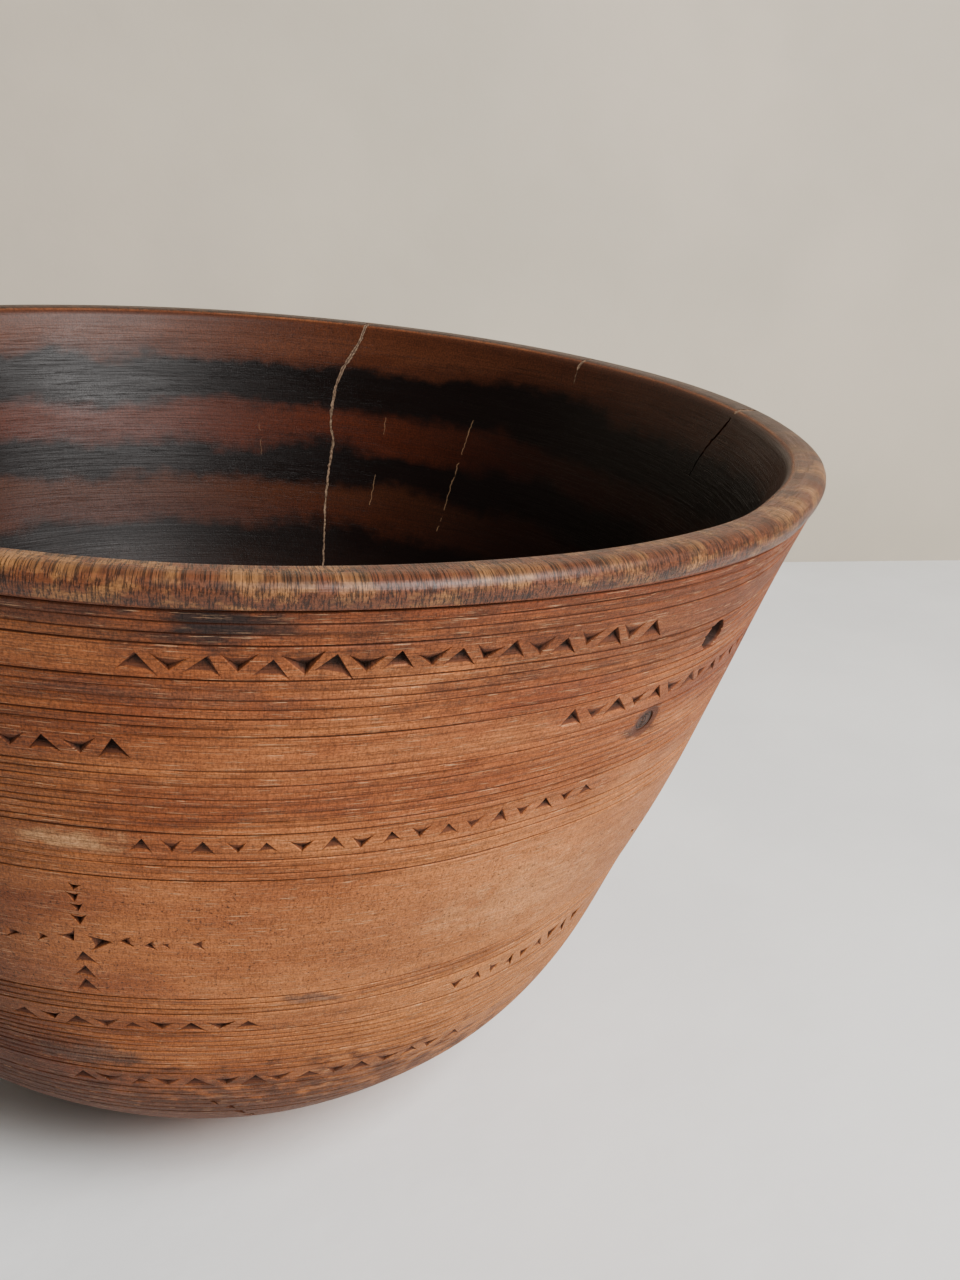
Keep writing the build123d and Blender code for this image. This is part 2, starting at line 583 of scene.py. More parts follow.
@dataclass(frozen=True)
class CrackPath:
    """The course of a crack over the lip and down the hollow."""

    stops: tuple[tuple[float, float, float], ...]  # angle, mm from the middle of the lip, width in mm
    deep: float = 4.5 * MM
    spacing: float = 1.2 * MM
    rough: float = 0.12  # mm that its middle line strays

    def course(self) -> tuple[np.ndarray, np.ndarray, np.ndarray]:
        """Follow the crack at even spacing.

        Returns:
            Angle in degrees, run from the middle of the lip, and width.
        """
        stops = np.array(self.stops, float)
        run = np.arange(stops[0, 1] * MM, stops[-1, 1] * MM, self.spacing)
        angle = np.interp(run, stops[:, 1] * MM, stops[:, 0])
        width = np.interp(run, stops[:, 1] * MM, stops[:, 2]) * MM
        return angle, run, width

    def sheet(
        self, name: str, wall: Wall, columns: int, grow: float, lift: float, seed: int
    ) -> bpy.types.Object:
        """Lay a narrow grid along the crack, on the skin of the wall.

        Args:
            name: the object's name.
            wall: the wall it lies on.
            columns: corners across the crack.
            grow: how much wider than the crack it is.
            lift: how far above the skin it lies.
            seed: seed of its uneven edges, the same for a slot and its filler.

        Returns:
            The grid, one layer thick.
        """
        angle, run, width = self.course()
        rng = np.random.default_rng(seed)
        rows = len(run)
        crook = rng.normal(0, self.rough, rows) * MM
        uneven = 1 + rng.normal(0, 1.6 * self.rough, rows)
        bpy.ops.object.select_all(action="DESELECT")
        bpy.ops.mesh.primitive_grid_add(x_subdivisions=columns - 1, y_subdivisions=rows - 1, size=2)
        grid = bpy.context.active_object
        grid.name = name
        flat = corners_of(grid)
        column = np.rint((flat[:, 0] + 1) / 2 * (columns - 1)).astype(int)
        row = np.rint((flat[:, 1] + 1) / 2 * (rows - 1)).astype(int)
        line, line_run = wall.over_lip()
        spot = np.stack([np.interp(run, line_run, line[:, k]) for k in (0, 1)], 1)
        ahead = np.stack([np.interp(run + MM, line_run, line[:, k]) for k in (0, 1)], 1)
        along = ahead - np.stack([np.interp(run - MM, line_run, line[:, k]) for k in (0, 1)], 1)
        along /= np.linalg.norm(along, axis=1)[:, None]
        out = np.stack([along[:, 1], -along[:, 0]], 1)
        a = np.radians(angle)
        outward = outward_at(a)
        sideways = np.stack([np.cos(a), np.sin(a), 0 * a], 1)
        normal = outward * out[:, :1] + UP * out[:, 1:]
        middle = outward * spot[:, :1] + UP * spot[:, 1:] + normal * lift
        reach = (column / (columns - 1) - 0.5) * (width * uneven + grow)[row] + crook[row]
        move_corners(grid, middle[row] + sideways[row] * reach[:, None])
        pick(grid)
        bpy.ops.object.mode_set(mode="EDIT")
        bpy.ops.mesh.select_all(action="SELECT")
        bpy.ops.mesh.normals_make_consistent(inside=False)
        bpy.ops.object.mode_set(mode="OBJECT")
        facing = np.zeros(len(grid.data.polygons) * 3)
        grid.data.polygons.foreach_get("normal", facing)
        if (facing.reshape(-1, 3)[len(facing) // 6] @ normal[rows // 2]) < 0:
            grid.data.flip_normals()
        return grid


@dataclass
class BowlBody:
    """The one block of wood: profile, scribed rings, chips, hollows and slots."""

    wall: Wall
    hand: HandWork
    segments: int = 264
    groove_half: float = 0.46 * MM
    ring_wander: float = 0.28 * MM
    ring_seed: int = 11
    chip_slip: float = 0.2 * MM  # how far a chip strays from its place
    chip_twist: float = 4  # degrees
    chip_seed: int = 5
    full_cut: float = 3 * MM  # depth at which the mark "cut" is 1
    lip_top: float = 5 * MM  # down to here, depth is reckoned from the top too
    lip_spared: float = 1.6 * MM  # and this much of it is no cut
    band_edge: Point = (6.3, 7.4)  # mm down, where the plain band under the lip ends
    band_end: float = 7.6
    plain_step: float = 2.6  # mm between corners where nothing is cut
    foot_round: float = 6 * MM
    groups: tuple[GrooveGroup, ...] = (
        GrooveGroup(8.6, 18, 4, 0.5),
        GrooveGroup(28.4, 45.8, 7),
        GrooveGroup(56.4, 77.6, 10, 0.34),
        GrooveGroup(86.8, 94.6, 4, 0.34),
        GrooveGroup(144.4, 151.6, 4),
        GrooveGroup(160.4, 182, 10),
        GrooveGroup(191.4, 210, 6, 0.3),
    )
    bands: tuple[ZigzagBand, ...] = (
        ZigzagBand(23.4, -5.9, 33.5, 19, 5, Chip(8.2, 5.6, 2.0)),
        ZigzagBand(50.6, 28.5, 64.1, 15, 5, Chip(7.8, 5.4, 1.9)),
        ZigzagBand(81.8, -6.6, 34.5, 17, 5, Chip(5.6, 4.4, 1.4)),
        ZigzagBand(157.2, -21.0, 3.1, 9, 1, Chip(7.4, 4.2, 1.7)),
        ZigzagBand(156.4, 27.7, 48.9, 9, 5, Chip(5.6, 4.2, 1.5), every=59, starts_down=True),
        ZigzagBand(187.0, -16.1, 31.8, 15, 5, Chip(7.6, 4.4, 1.5)),
    )
    # chips of one cross: mm to the right, mm down, width in mm, turn in degrees
    cross: tuple[tuple[float, float, float, float], ...] = (
        (0.8, -21, 3.4, 170), (0, -17, 3.8, 184), (0, -13, 3.6, 180), (0, -8.4, 5.4, 180),
        (0, 7.6, 6, 0), (0, 13.6, 5.8, 0), (0.3, 19.4, 8.5, 0),
        (-18, 0.4, 5, -85), (-10, 0.3, 4.6, -95), (-3.3, -0.6, 5.4, -150),
        (4.7, 0, 6.8, -80), (11.7, 0, 4.6, 84), (17.3, 0.3, 4.2, 92), (22.3, 0.2, 3.8, 90),
        (29.9, -0.4, 4.2, 86),
    )
    cross_angle: float = -12.7
    cross_down: float = 120.4
    # chips of the slanting row on the underside: angle, mm down, turn
    low_row: tuple[tuple[float, float, float], ...] = (
        (-0.2, 201, 80), (1.6, 206, 95), (3.0, 211.5, 85), (4.6, 217, 90),
    )
    low_chip: Chip = Chip(4.8, 4.4, 1.3)
    motif_repeats: int = 5
    clear: float = 0.85  # chips of one batch are this share of their widths apart

    def profile(self) -> list[tuple[float, float, int, float]]:
        """Draw the half section.

        Returns:
            Its corners: radius, height, ring number or -1, and how deep the ring is there.
        """
        rings = [ring for group in self.groups for ring in group.stations()]
        rows: list[tuple[float, int, float]] = []
        for number, (station, depth) in enumerate(rings):
            half = self.groove_half / MM
            rows += [(station - half, number, 0.0), (station, number, depth), (station + half, number, 0.0)]
        plain = list(self.band_edge)
        filled = sorted([row[0] for row in rows] + plain)
        foot_run = self.wall.run(Side.OUTSIDE)[-1] / MM - 5
        for low, high in zip(filled, filled[1:] + [foot_run]):
            extra = int((high - low) / self.plain_step)
            plain += [low + (high - low) * (k + 1) / (extra + 1) for k in range(extra)]
        rows += [(station, -1, 0.0) for station in plain]
        rows.sort(reverse=True)
        foot = (self.wall.foot_radius, 0.0)
        on_wall, _ = self.wall.place(Side.OUTSIDE, self.wall.run(Side.OUTSIDE)[-1] - 12 * MM)
        arc = rounded_corner((0, 0), foot, tuple(on_wall[0]), self.foot_round, 5)
        section = [(r * MM, 0.0, -1, 0.0) for r in (0, 12, 28, 42)] + [(r, z, -1, 0.0) for r, z in arc]
        for station, number, depth in rows:
            spot, out = self.wall.place(Side.OUTSIDE, station * MM)
            proud = self.wall.lip_proud if station < self.band_end else 0
            place = spot[0] + out[0] * proud
            section.append((float(place[0]), float(place[1]), number, depth * MM))
        section += [(r, z, -1, 0.0) for r, z in self.wall.lip()]
        end = self.wall.run(Side.HOLLOW)[-1]
        for down in [*np.linspace(4.6 * MM, end - 20 * MM, 62), end - 10 * MM]:
            spot, _ = self.wall.place(Side.HOLLOW, down)
            section.append((float(spot[0][0]), float(spot[0][1]), -1, 0.0))
        section.append((0.0, self.wall.floor_thickness, -1, 0.0))
        return section

    def turn(self, section: list[tuple[float, float, int, float]]) -> bpy.types.Object:
        """Extrude the half section corner by corner, and spin it into a round.

        Args:
            section: the half section's corners.

        Returns:
            The turned bowl.
        """
        bpy.ops.object.select_all(action="DESELECT")
        bpy.ops.mesh.primitive_plane_add(size=2 * MM)
        bowl = bpy.context.active_object
        bowl.name = "carved_bowl"
        bpy.ops.object.mode_set(mode="EDIT")
        bpy.ops.mesh.select_all(action="SELECT")
        bpy.ops.mesh.merge(type="CENTER")
        at = Vector((0, 0, 0))
        for radius, height, _, _ in section[1:]:
            place = Vector((radius, 0, height))
            bpy.ops.mesh.extrude_region_move(TRANSFORM_OT_translate={"value": place - at})
            at = place
        bpy.ops.mesh.select_all(action="SELECT")
        bpy.ops.mesh.spin(steps=self.segments, angle=2 * pi, center=(0, 0, 0), axis=(0, 0, 1))
        bpy.ops.mesh.select_all(action="SELECT")
        bpy.ops.mesh.remove_doubles(threshold=0.02 * MM)
        bpy.ops.mesh.normals_make_consistent(inside=False)
        bpy.ops.object.mode_set(mode="OBJECT")
        return bowl

    def scribe(self, bowl: bpy.types.Object, section: list[tuple[float, float, int, float]]) -> None:
        """Press every ring into the wall, deeper here and fainter there, and let it wander a little.

        Args:
            bowl: the turned bowl.
            section: the half section that it was turned from.
        """
        corners = corners_of(bowl)
        table = np.array(section)
        flat = np.stack([np.hypot(corners[:, 0], corners[:, 1]), corners[:, 2]], 1)
        row = nearest_rows(flat, table[:, :2])
        number, depth = table[row, 2].astype(int), table[row, 3]
        angle = angle_of(corners)
        outward = outward_at(angle)
        rng = np.random.default_rng(self.ring_seed)
        for ring in range(int(table[:, 2].max()) + 1):
            mine = number == ring
            turns = rng.integers(1, 14, 6)
            phases = rng.uniform(0, 2 * pi, 6)
            tone = sum(np.sin(n * angle[mine] + p) for n, p in zip(turns[:3], phases[:3])) / 3
            drift = sum(np.sin(n * angle[mine] + p) for n, p in zip(turns[3:], phases[3:])) / 3
            press = depth[mine] * np.clip(0.9 * rng.uniform(0.8, 1.2) + 0.5 * tone, 0.1, 1.4)
            slide = self.ring_wander * drift
            _, out = self.wall.place(Side.OUTSIDE, self.wall.measure(corners[mine])[0])
            normal = outward[mine] * out[:, :1] + UP * out[:, 1:]
            up_wall = outward[mine] * -out[:, 1:] + UP * out[:, :1]
            corners[mine] += up_wall * slide[:, None] - normal * press[:, None]
        move_corners(bowl, corners)

    def chip_places(self) -> list[tuple[Chip, Matrix]]:
        """Lay out every chip in the wall.

        Returns:
            Each chip with the frame that it is cut in.
        """
        places = []
        for band in self.bands:
            shallow = replace(band.chip, depth=band.chip.depth * 0.7, height=band.chip.height * 0.9)
            for angle, down, turn in band.cuts():
                chip = shallow if turn else band.chip
                places.append((chip, self.wall.bench(Side.OUTSIDE, angle, down * MM, turn)))
        radius = float(self.wall.place(Side.OUTSIDE, self.cross_down * MM)[0][0][0])
        for repeat in range(self.motif_repeats):
            around = repeat * 360 / self.motif_repeats
            for across, down, width, turn in self.cross:
                angle = self.cross_angle + around + np.degrees(across * MM / radius)
                chip = Chip(width, width * 0.82, 0.26 * width + 0.3, tail=0.12)
                at = (self.cross_down + down) * MM
                places.append((chip, self.wall.bench(Side.OUTSIDE, angle, at, turn)))
            for angle, down, turn in self.low_row:
                bench = self.wall.bench(Side.OUTSIDE, angle + around, down * MM, turn)
                places.append((self.low_chip, bench))
        return places

    def batches(self) -> list[list[tuple[Chip, Matrix]]]:
        """Sort the chips into sets in which no two touch, as one Boolean needs.

        Returns:
            The sets, each a list of chips with their frames.
        """
        sets: list[list[tuple[Chip, Matrix]]] = []
        for chip, bench in self.chip_places():
            for batch in sets:
                gaps = [(bench.translation - at.translation).length for _, at in batch]
                needs = [(chip.width + near.width) * self.clear * MM for near, _ in batch]
                if all(gap > need for gap, need in zip(gaps, needs)):
                    batch.append((chip, bench))
                    break
            else:
                sets.append([(chip, bench)])
        return sets

    def carve(self, bowl: bpy.types.Object) -> None:
        """Cut all the chips, batch by batch, each with its own small unevenness.

        Args:
            bowl: the turned and scribed bowl.
        """
        rng = np.random.default_rng(self.chip_seed)
        for batch in self.batches():
            corners: list[np.ndarray] = []
            faces: list[tuple[int, ...]] = []
            count = 0
            for chip, bench in batch:
                cut, cut_faces = chip.mesh(rng)
                slip = Matrix.Translation(Vector((*rng.normal(0, self.chip_slip, 2), 0)))
                twist = Matrix.Rotation(radians(rng.normal(0, self.chip_twist)), 4, "Z")
                frame_of_cut = np.array(bench @ slip @ twist)
                corners.append(cut * MM @ frame_of_cut[:3, :3].T + frame_of_cut[:3, 3])
                faces += [tuple(count + k for k in face) for face in cut_faces]
                count += len(cut)
            cut_away(bowl, new_mesh("chip_cutter", np.vstack(corners), faces))
            log.info("cut %d chips, %d corners", len(batch), len(bowl.data.vertices))

    def note_marks(self, bowl: bpy.types.Object) -> None:
        """Store on each corner how far down it is, how deep it is cut, and which face it is on.

        Args:
            bowl: the cut bowl, before it is bent.
        """
        corners = corners_of(bowl)
        down, depth, inside = self.wall.measure(corners)
        under_top = self.wall.height - corners[:, 2]
        near_top = np.clip(np.minimum(depth, under_top) - self.lip_spared, 0, 1)
        depth = np.where(under_top < self.lip_top, near_top, depth)
        marks = {"down": down, "cut": np.clip(depth / self.full_cut, 0, 1), "inside": inside}
        for name, values in marks.items():
            attribute = bowl.data.attributes.new(name, "FLOAT", "POINT")
            attribute.data.foreach_set("value", values.astype(np.float32))

    def open_hollows(self, bowl: bpy.types.Object, knot: "KnotWork", cracks: "CrackWork") -> None:
        """Cut the knot hole, the tight knot's seat, the filled slots and the open crack.

        Args:
            bowl: the bowl.
            knot: where the knots are.
            cracks: where the cracks are.
        """
        for cutter in [*knot.cutters(self.wall), *cracks.cutters(self.wall)]:
            cut_away(bowl, cutter)

    def build(self, knot: "KnotWork", cracks: "CrackWork") -> bpy.types.Object:
        """Make the whole bowl.

        Args:
            knot: the knot hole and the tight knot.
            cracks: the cracks and their filler.

        Returns:
            The finished block of wood, without its material.
        """
        section = self.profile()
        bowl = self.turn(section)
        self.scribe(bowl, section)
        self.carve(bowl)
        self.open_hollows(bowl, knot, cracks)
        if not bowl.data.vertices:
            raise RuntimeError("a Boolean lost the bowl")
        self.note_marks(bowl)
        move_corners(bowl, self.hand.bend(corners_of(bowl)))
        pick(bowl)
        bpy.ops.object.shade_smooth_by_angle(angle=radians(32))
        return bowl


@dataclass
class KnotWork:
    """The open knot hole, and the tight knot below it."""

    hole_angle: float = 44.4
    hole_down: float = 35 * MM
    hole_radius: float = 4.4 * MM
    hole_reach: float = 9.5 * MM
    hole_slant: float = 38  # degrees downwards, and to the side
    hole_lean: float = 14
    knot_angle: float = 39.6
    knot_down: float = 62 * MM
    knot_radius: float = 3.5 * MM
    knot_length: float = 5.5 * MM
    dish_radius: float = 6.5 * MM
    dish_depth: float = 0.9 * MM
    seed: int = 21

    def cutters(self, wall: Wall) -> list[bpy.types.Object]:
        """Make the shapes to cut out of the wall.

        Args:
            wall: the wall.

        Returns:
            The hole's egg, the dish and the socket.
        """
        bpy.ops.object.select_all(action="DESELECT")
        bpy.ops.mesh.primitive_uv_sphere_add(segments=28, ring_count=18, radius=self.hole_radius)
        egg = bpy.context.active_object
        stretch = Matrix.Diagonal((1, 1, self.hole_reach / self.hole_radius, 1))
        slant = Matrix.Rotation(radians(self.hole_slant), 4, "X")
        lean = slant @ Matrix.Rotation(radians(self.hole_lean), 4, "Y")
        egg.data.transform(wall.bench(Side.OUTSIDE, self.hole_angle, self.hole_down) @ lean @ stretch)
        rng = Waves(self.seed, 0.3 * MM, 5 * MM, 12 * MM)
        corners = corners_of(egg)
        move_corners(egg, corners + rng.at(corners)[:, None])
        bench = wall.bench(Side.OUTSIDE, self.knot_angle, self.knot_down)
        ball = (self.dish_radius**2 + self.dish_depth**2) / (2 * self.dish_depth)
        bpy.ops.object.select_all(action="DESELECT")
        bpy.ops.mesh.primitive_uv_sphere_add(segments=64, ring_count=64, radius=ball)
        dish = bpy.context.active_object
        dish.data.transform(bench @ Matrix.Translation((0, 0, ball - self.dish_depth)))
        bpy.ops.object.select_all(action="DESELECT")
        bpy.ops.mesh.primitive_cylinder_add(vertices=36, radius=self.knot_radius, depth=self.knot_length)
        socket = bpy.context.active_object
        socket.data.transform(bench @ Matrix.Translation((0, 0, -self.knot_length / 2)))
        return [egg, dish, socket]

    def knot(self, wall: Wall) -> bpy.types.Object:
        """Make the tight knot: a plug with a ringed, cracked face.

        Args:
            wall: the wall that it sits in.

        Returns:
            The plug, without its material.
        """
        bpy.ops.object.select_all(action="DESELECT")
        depth = self.knot_length - self.dish_depth
        bpy.ops.mesh.primitive_cylinder_add(vertices=36, radius=self.knot_radius * 0.97, depth=depth)
        plug = bpy.context.active_object
        plug.name = "knot_plug"
        bpy.ops.object.mode_set(mode="EDIT")
        bpy.ops.mesh.select_all(action="DESELECT")
        bpy.ops.object.mode_set(mode="OBJECT")
        for face in plug.data.polygons:
            face.select = face.normal.z > 0.9
        bpy.ops.object.mode_set(mode="EDIT")
        for _ in range(6):
            bpy.ops.mesh.inset(thickness=self.knot_radius * 0.14)
        bpy.ops.mesh.poke()
        bpy.ops.object.mode_set(mode="OBJECT")
        corners = corners_of(plug)
        face = corners[:, 2] > depth / 2 - 0.01 * MM
        radius = np.hypot(corners[:, 0], corners[:, 1])
        rings = np.sin(radius / self.knot_radius * 16) * 0.1 * MM
        check = np.exp(-((corners[:, 0] / (0.35 * MM)) ** 2)) * (radius < 0.8 * self.knot_radius) * 0.5 * MM
        rough = Waves(self.seed, 0.12 * MM, 1.5 * MM, 4 * MM).at(corners)
        corners[face, 2] += (rings - check + rough)[face]
        attribute = plug.data.attributes.new("ring", "FLOAT", "POINT")
        attribute.data.foreach_set("value", (radius / self.knot_radius).astype(np.float32))
        place = np.array(wall.bench(Side.OUTSIDE, self.knot_angle, self.knot_down))
        corners[:, 2] -= self.dish_depth + depth / 2 + 0.12 * MM
        move_corners(plug, corners @ place[:3, :3].T + place[:3, 3])
        pick(plug)
        bpy.ops.object.shade_smooth_by_angle(angle=radians(50))
        return plug


@dataclass
class CrackWork:
    """The cracks in the hollow's wall: the filled ones with their filler, and the open one."""

    long: CrackPath = CrackPath(
        (
            (161.2, -3, 1.3), (161.5, 4, 1.7), (162.0, 12, 1.5), (163.0, 20, 1.7), (164.1, 27, 1.5),
            (164.8, 35, 1.3), (165.0, 46, 1.5), (164.9, 52, 0.9), (164.2, 60, 1.0), (164.4, 72, 1.1),
            (164.4, 88, 0.9), (163.9, 104, 0.8), (163.5, 118, 0.7), (163.3, 134, 0.4),
        )
    )
    middle: CrackPath = CrackPath(((127.6, -1, 1.3), (127.8, 5, 1.6), (128.0, 10, 0.9), (127.9, 16, 0.4)))
    right: CrackPath = CrackPath(((96.2, -2, 2.2), (96.4, 3, 2.6), (96.5, 7, 1.6)))
    open: CrackPath = CrackPath(
        (
            (96.6, 8.5, 0.5), (97.0, 12, 1.0), (97.8, 17, 1.2), (98.8, 23, 0.9), (99.4, 29, 0.6),
            (99.6, 36, 0.2),
        ),
        deep=4 * MM,
    )
    above: float = 1.2 * MM  # how far a cutter stands out of the wood
    gap: float = 0.16 * MM  # how much wider a slot is than its filler
    sunk: float = 0.12 * MM  # how far the filler lies under the skin
    short: float = 0.6 * MM  # how much shallower it is than its slot

    def cutters(self, wall: Wall) -> list[bpy.types.Object]:
        """Make the shapes of the slots for the filler, and of the open crack.

        Args:
            wall: the wall.

        Returns:
            The four shapes to cut out.
        """
        slots = []
        for seed, path in enumerate((self.long, self.middle, self.right, self.open)):
            slot = path.sheet("slot_cutter", wall, 2, self.gap, self.above, seed)
            apply_modifier(slot, "SOLIDIFY", thickness=path.deep + self.above, offset=-1)
            slots.append(slot)
        return slots

    def filler(self, name: str, path: CrackPath, wall: Wall, seed: int) -> bpy.types.Object:
        """Make one run of filler: a gritty, sunken ribbon that fits its slot.

        Args:
            name: the filler's name.
            path: the crack that it fills.
            wall: the wall.
            seed: seed of the crack's uneven edges.

        Returns:
            The filler, without its material.
        """
        ribbon = path.sheet(name, wall, 7, 0, -self.sunk, seed)
        grit = Waves(seed + 40, 0.13 * MM, 0.8 * MM, 3 * MM, 30)
        corners = corners_of(ribbon)
        normals = np.zeros(len(corners) * 3)
        ribbon.data.vertices.foreach_get("normal", normals)
        move_corners(ribbon, corners + normals.reshape(-1, 3) * grit.at(corners)[:, None])
        apply_modifier(ribbon, "SOLIDIFY", thickness=path.deep - self.short, offset=-1)
        pick(ribbon)
        bpy.ops.object.shade_smooth_by_angle(angle=radians(45))
        return ribbon


# ---------------------------------------------------------------- finishes


class Kind(Enum):
    """Sorts of socket that a node group can have."""

    VALUE = "NodeSocketFloat"
    VECTOR = "NodeSocketVector"
    COLOUR = "NodeSocketColor"


@dataclass
class Graph:
    """A node tree that is being built."""

    tree: bpy.types.NodeTree

    def add(self, kind: str, settings: dict[str, object], inputs: dict[str | int, object]) -> bpy.types.Node:
        """Add one node.

        Args:
            kind: the node's type.
            settings: properties to set on the node.
            inputs: for each input, the socket that feeds it or its constant.

        Returns:
            The new node.
        """
        node = self.tree.nodes.new(kind)
        for key, value in settings.items():
            setattr(node, key, value)
        for key, value in inputs.items():
            if isinstance(value, Socket):
                self.tree.links.new(value, node.inputs[key])
            else:
                node.inputs[key].default_value = value
        return node

    def math(self, operation: str, *values: object) -> Socket:
        """Work out one sum from values or sockets."""
        return self.add("ShaderNodeMath", {"operation": operation}, dict(enumerate(values))).outputs[0]

    def ease(self, value: Socket, low: float, high: float, start: float = 0, end: float = 1) -> Socket:
        """Go smoothly from start to end while the value goes from low to high.

        Args:
            value: the socket to read.
            low: the value at which the result is start.
            high: the value at which the result is end.
            start: result at the low end.
            end: result at the high end.

        Returns:
            The eased value.
        """
        inputs = {"Value": value, "From Min": low, "From Max": high, "To Min": start, "To Max": end}
        return self.add("ShaderNodeMapRange", {"interpolation_type": "SMOOTHSTEP"}, inputs).outputs["Result"]

    def between(self, value: Socket, low: float, high: float, soft: float) -> Socket:
        """Mask that is 1 between low and high and fades out over soft.

        Args:
            value: the socket to read.
            low: where the mask starts.
            high: where it ends.
            soft: how far each edge fades.

        Returns:
            The mask.
        """
        rise = self.ease(value, low - soft, low + soft)
        return self.math("MULTIPLY", rise, self.ease(value, high - soft, high + soft, 1, 0))

    def blend(self, factor: object, first: object, second: object, mode: str = "MIX") -> Socket:
        """Mix two colours.

        Args:
            factor: share of the second colour, from 0 to 1.
            first: the colour below.
            second: the colour on top.
            mode: how they blend.

        Returns:
            The mixed colour.
        """
        settings = {"data_type": "RGBA", "blend_type": mode, "clamp_factor": True}
        return self.add("ShaderNodeMix", settings, {0: factor, 6: first, 7: second}).outputs[2]

    def ramp(self, value: Socket, stops: tuple[tuple[float, Colour], ...]) -> Socket:
        """Look a value up in a row of colours.

        Args:
            value: the socket to read.
            stops: places from 0 to 1, each with its colour.

        Returns:
            The colour.
        """
        node = self.add("ShaderNodeValToRGB", {}, {0: value})
        bar = node.color_ramp
        bar.interpolation = "EASE"
        for place, colour in stops[1:-1]:
            bar.elements.new(place).color = colour
        for element, (place, colour) in zip(bar.elements, stops):
            element.position = place
            element.color = colour
        return node.outputs["Color"]

    def use(self, group: bpy.types.NodeTree, inputs: dict[str, object]) -> bpy.types.Node:
        """Add one of the shared groups.

        Args:
            group: the group.
            inputs: for each input, the socket that feeds it or its constant.

        Returns:
            The group's node.
        """
        return self.add("ShaderNodeGroup", {"node_tree": group}, inputs)


def new_material(name: str) -> tuple[bpy.types.Material, Graph, bpy.types.Node]:
    """Start a material.

    Args:
        name: the material's name.

    Returns:
        The material, its graph and its Principled BSDF.
    """
    material = bpy.data.materials.new(name)
    material.use_nodes = True
    return material, Graph(material.node_tree), material.node_tree.nodes["Principled BSDF"]


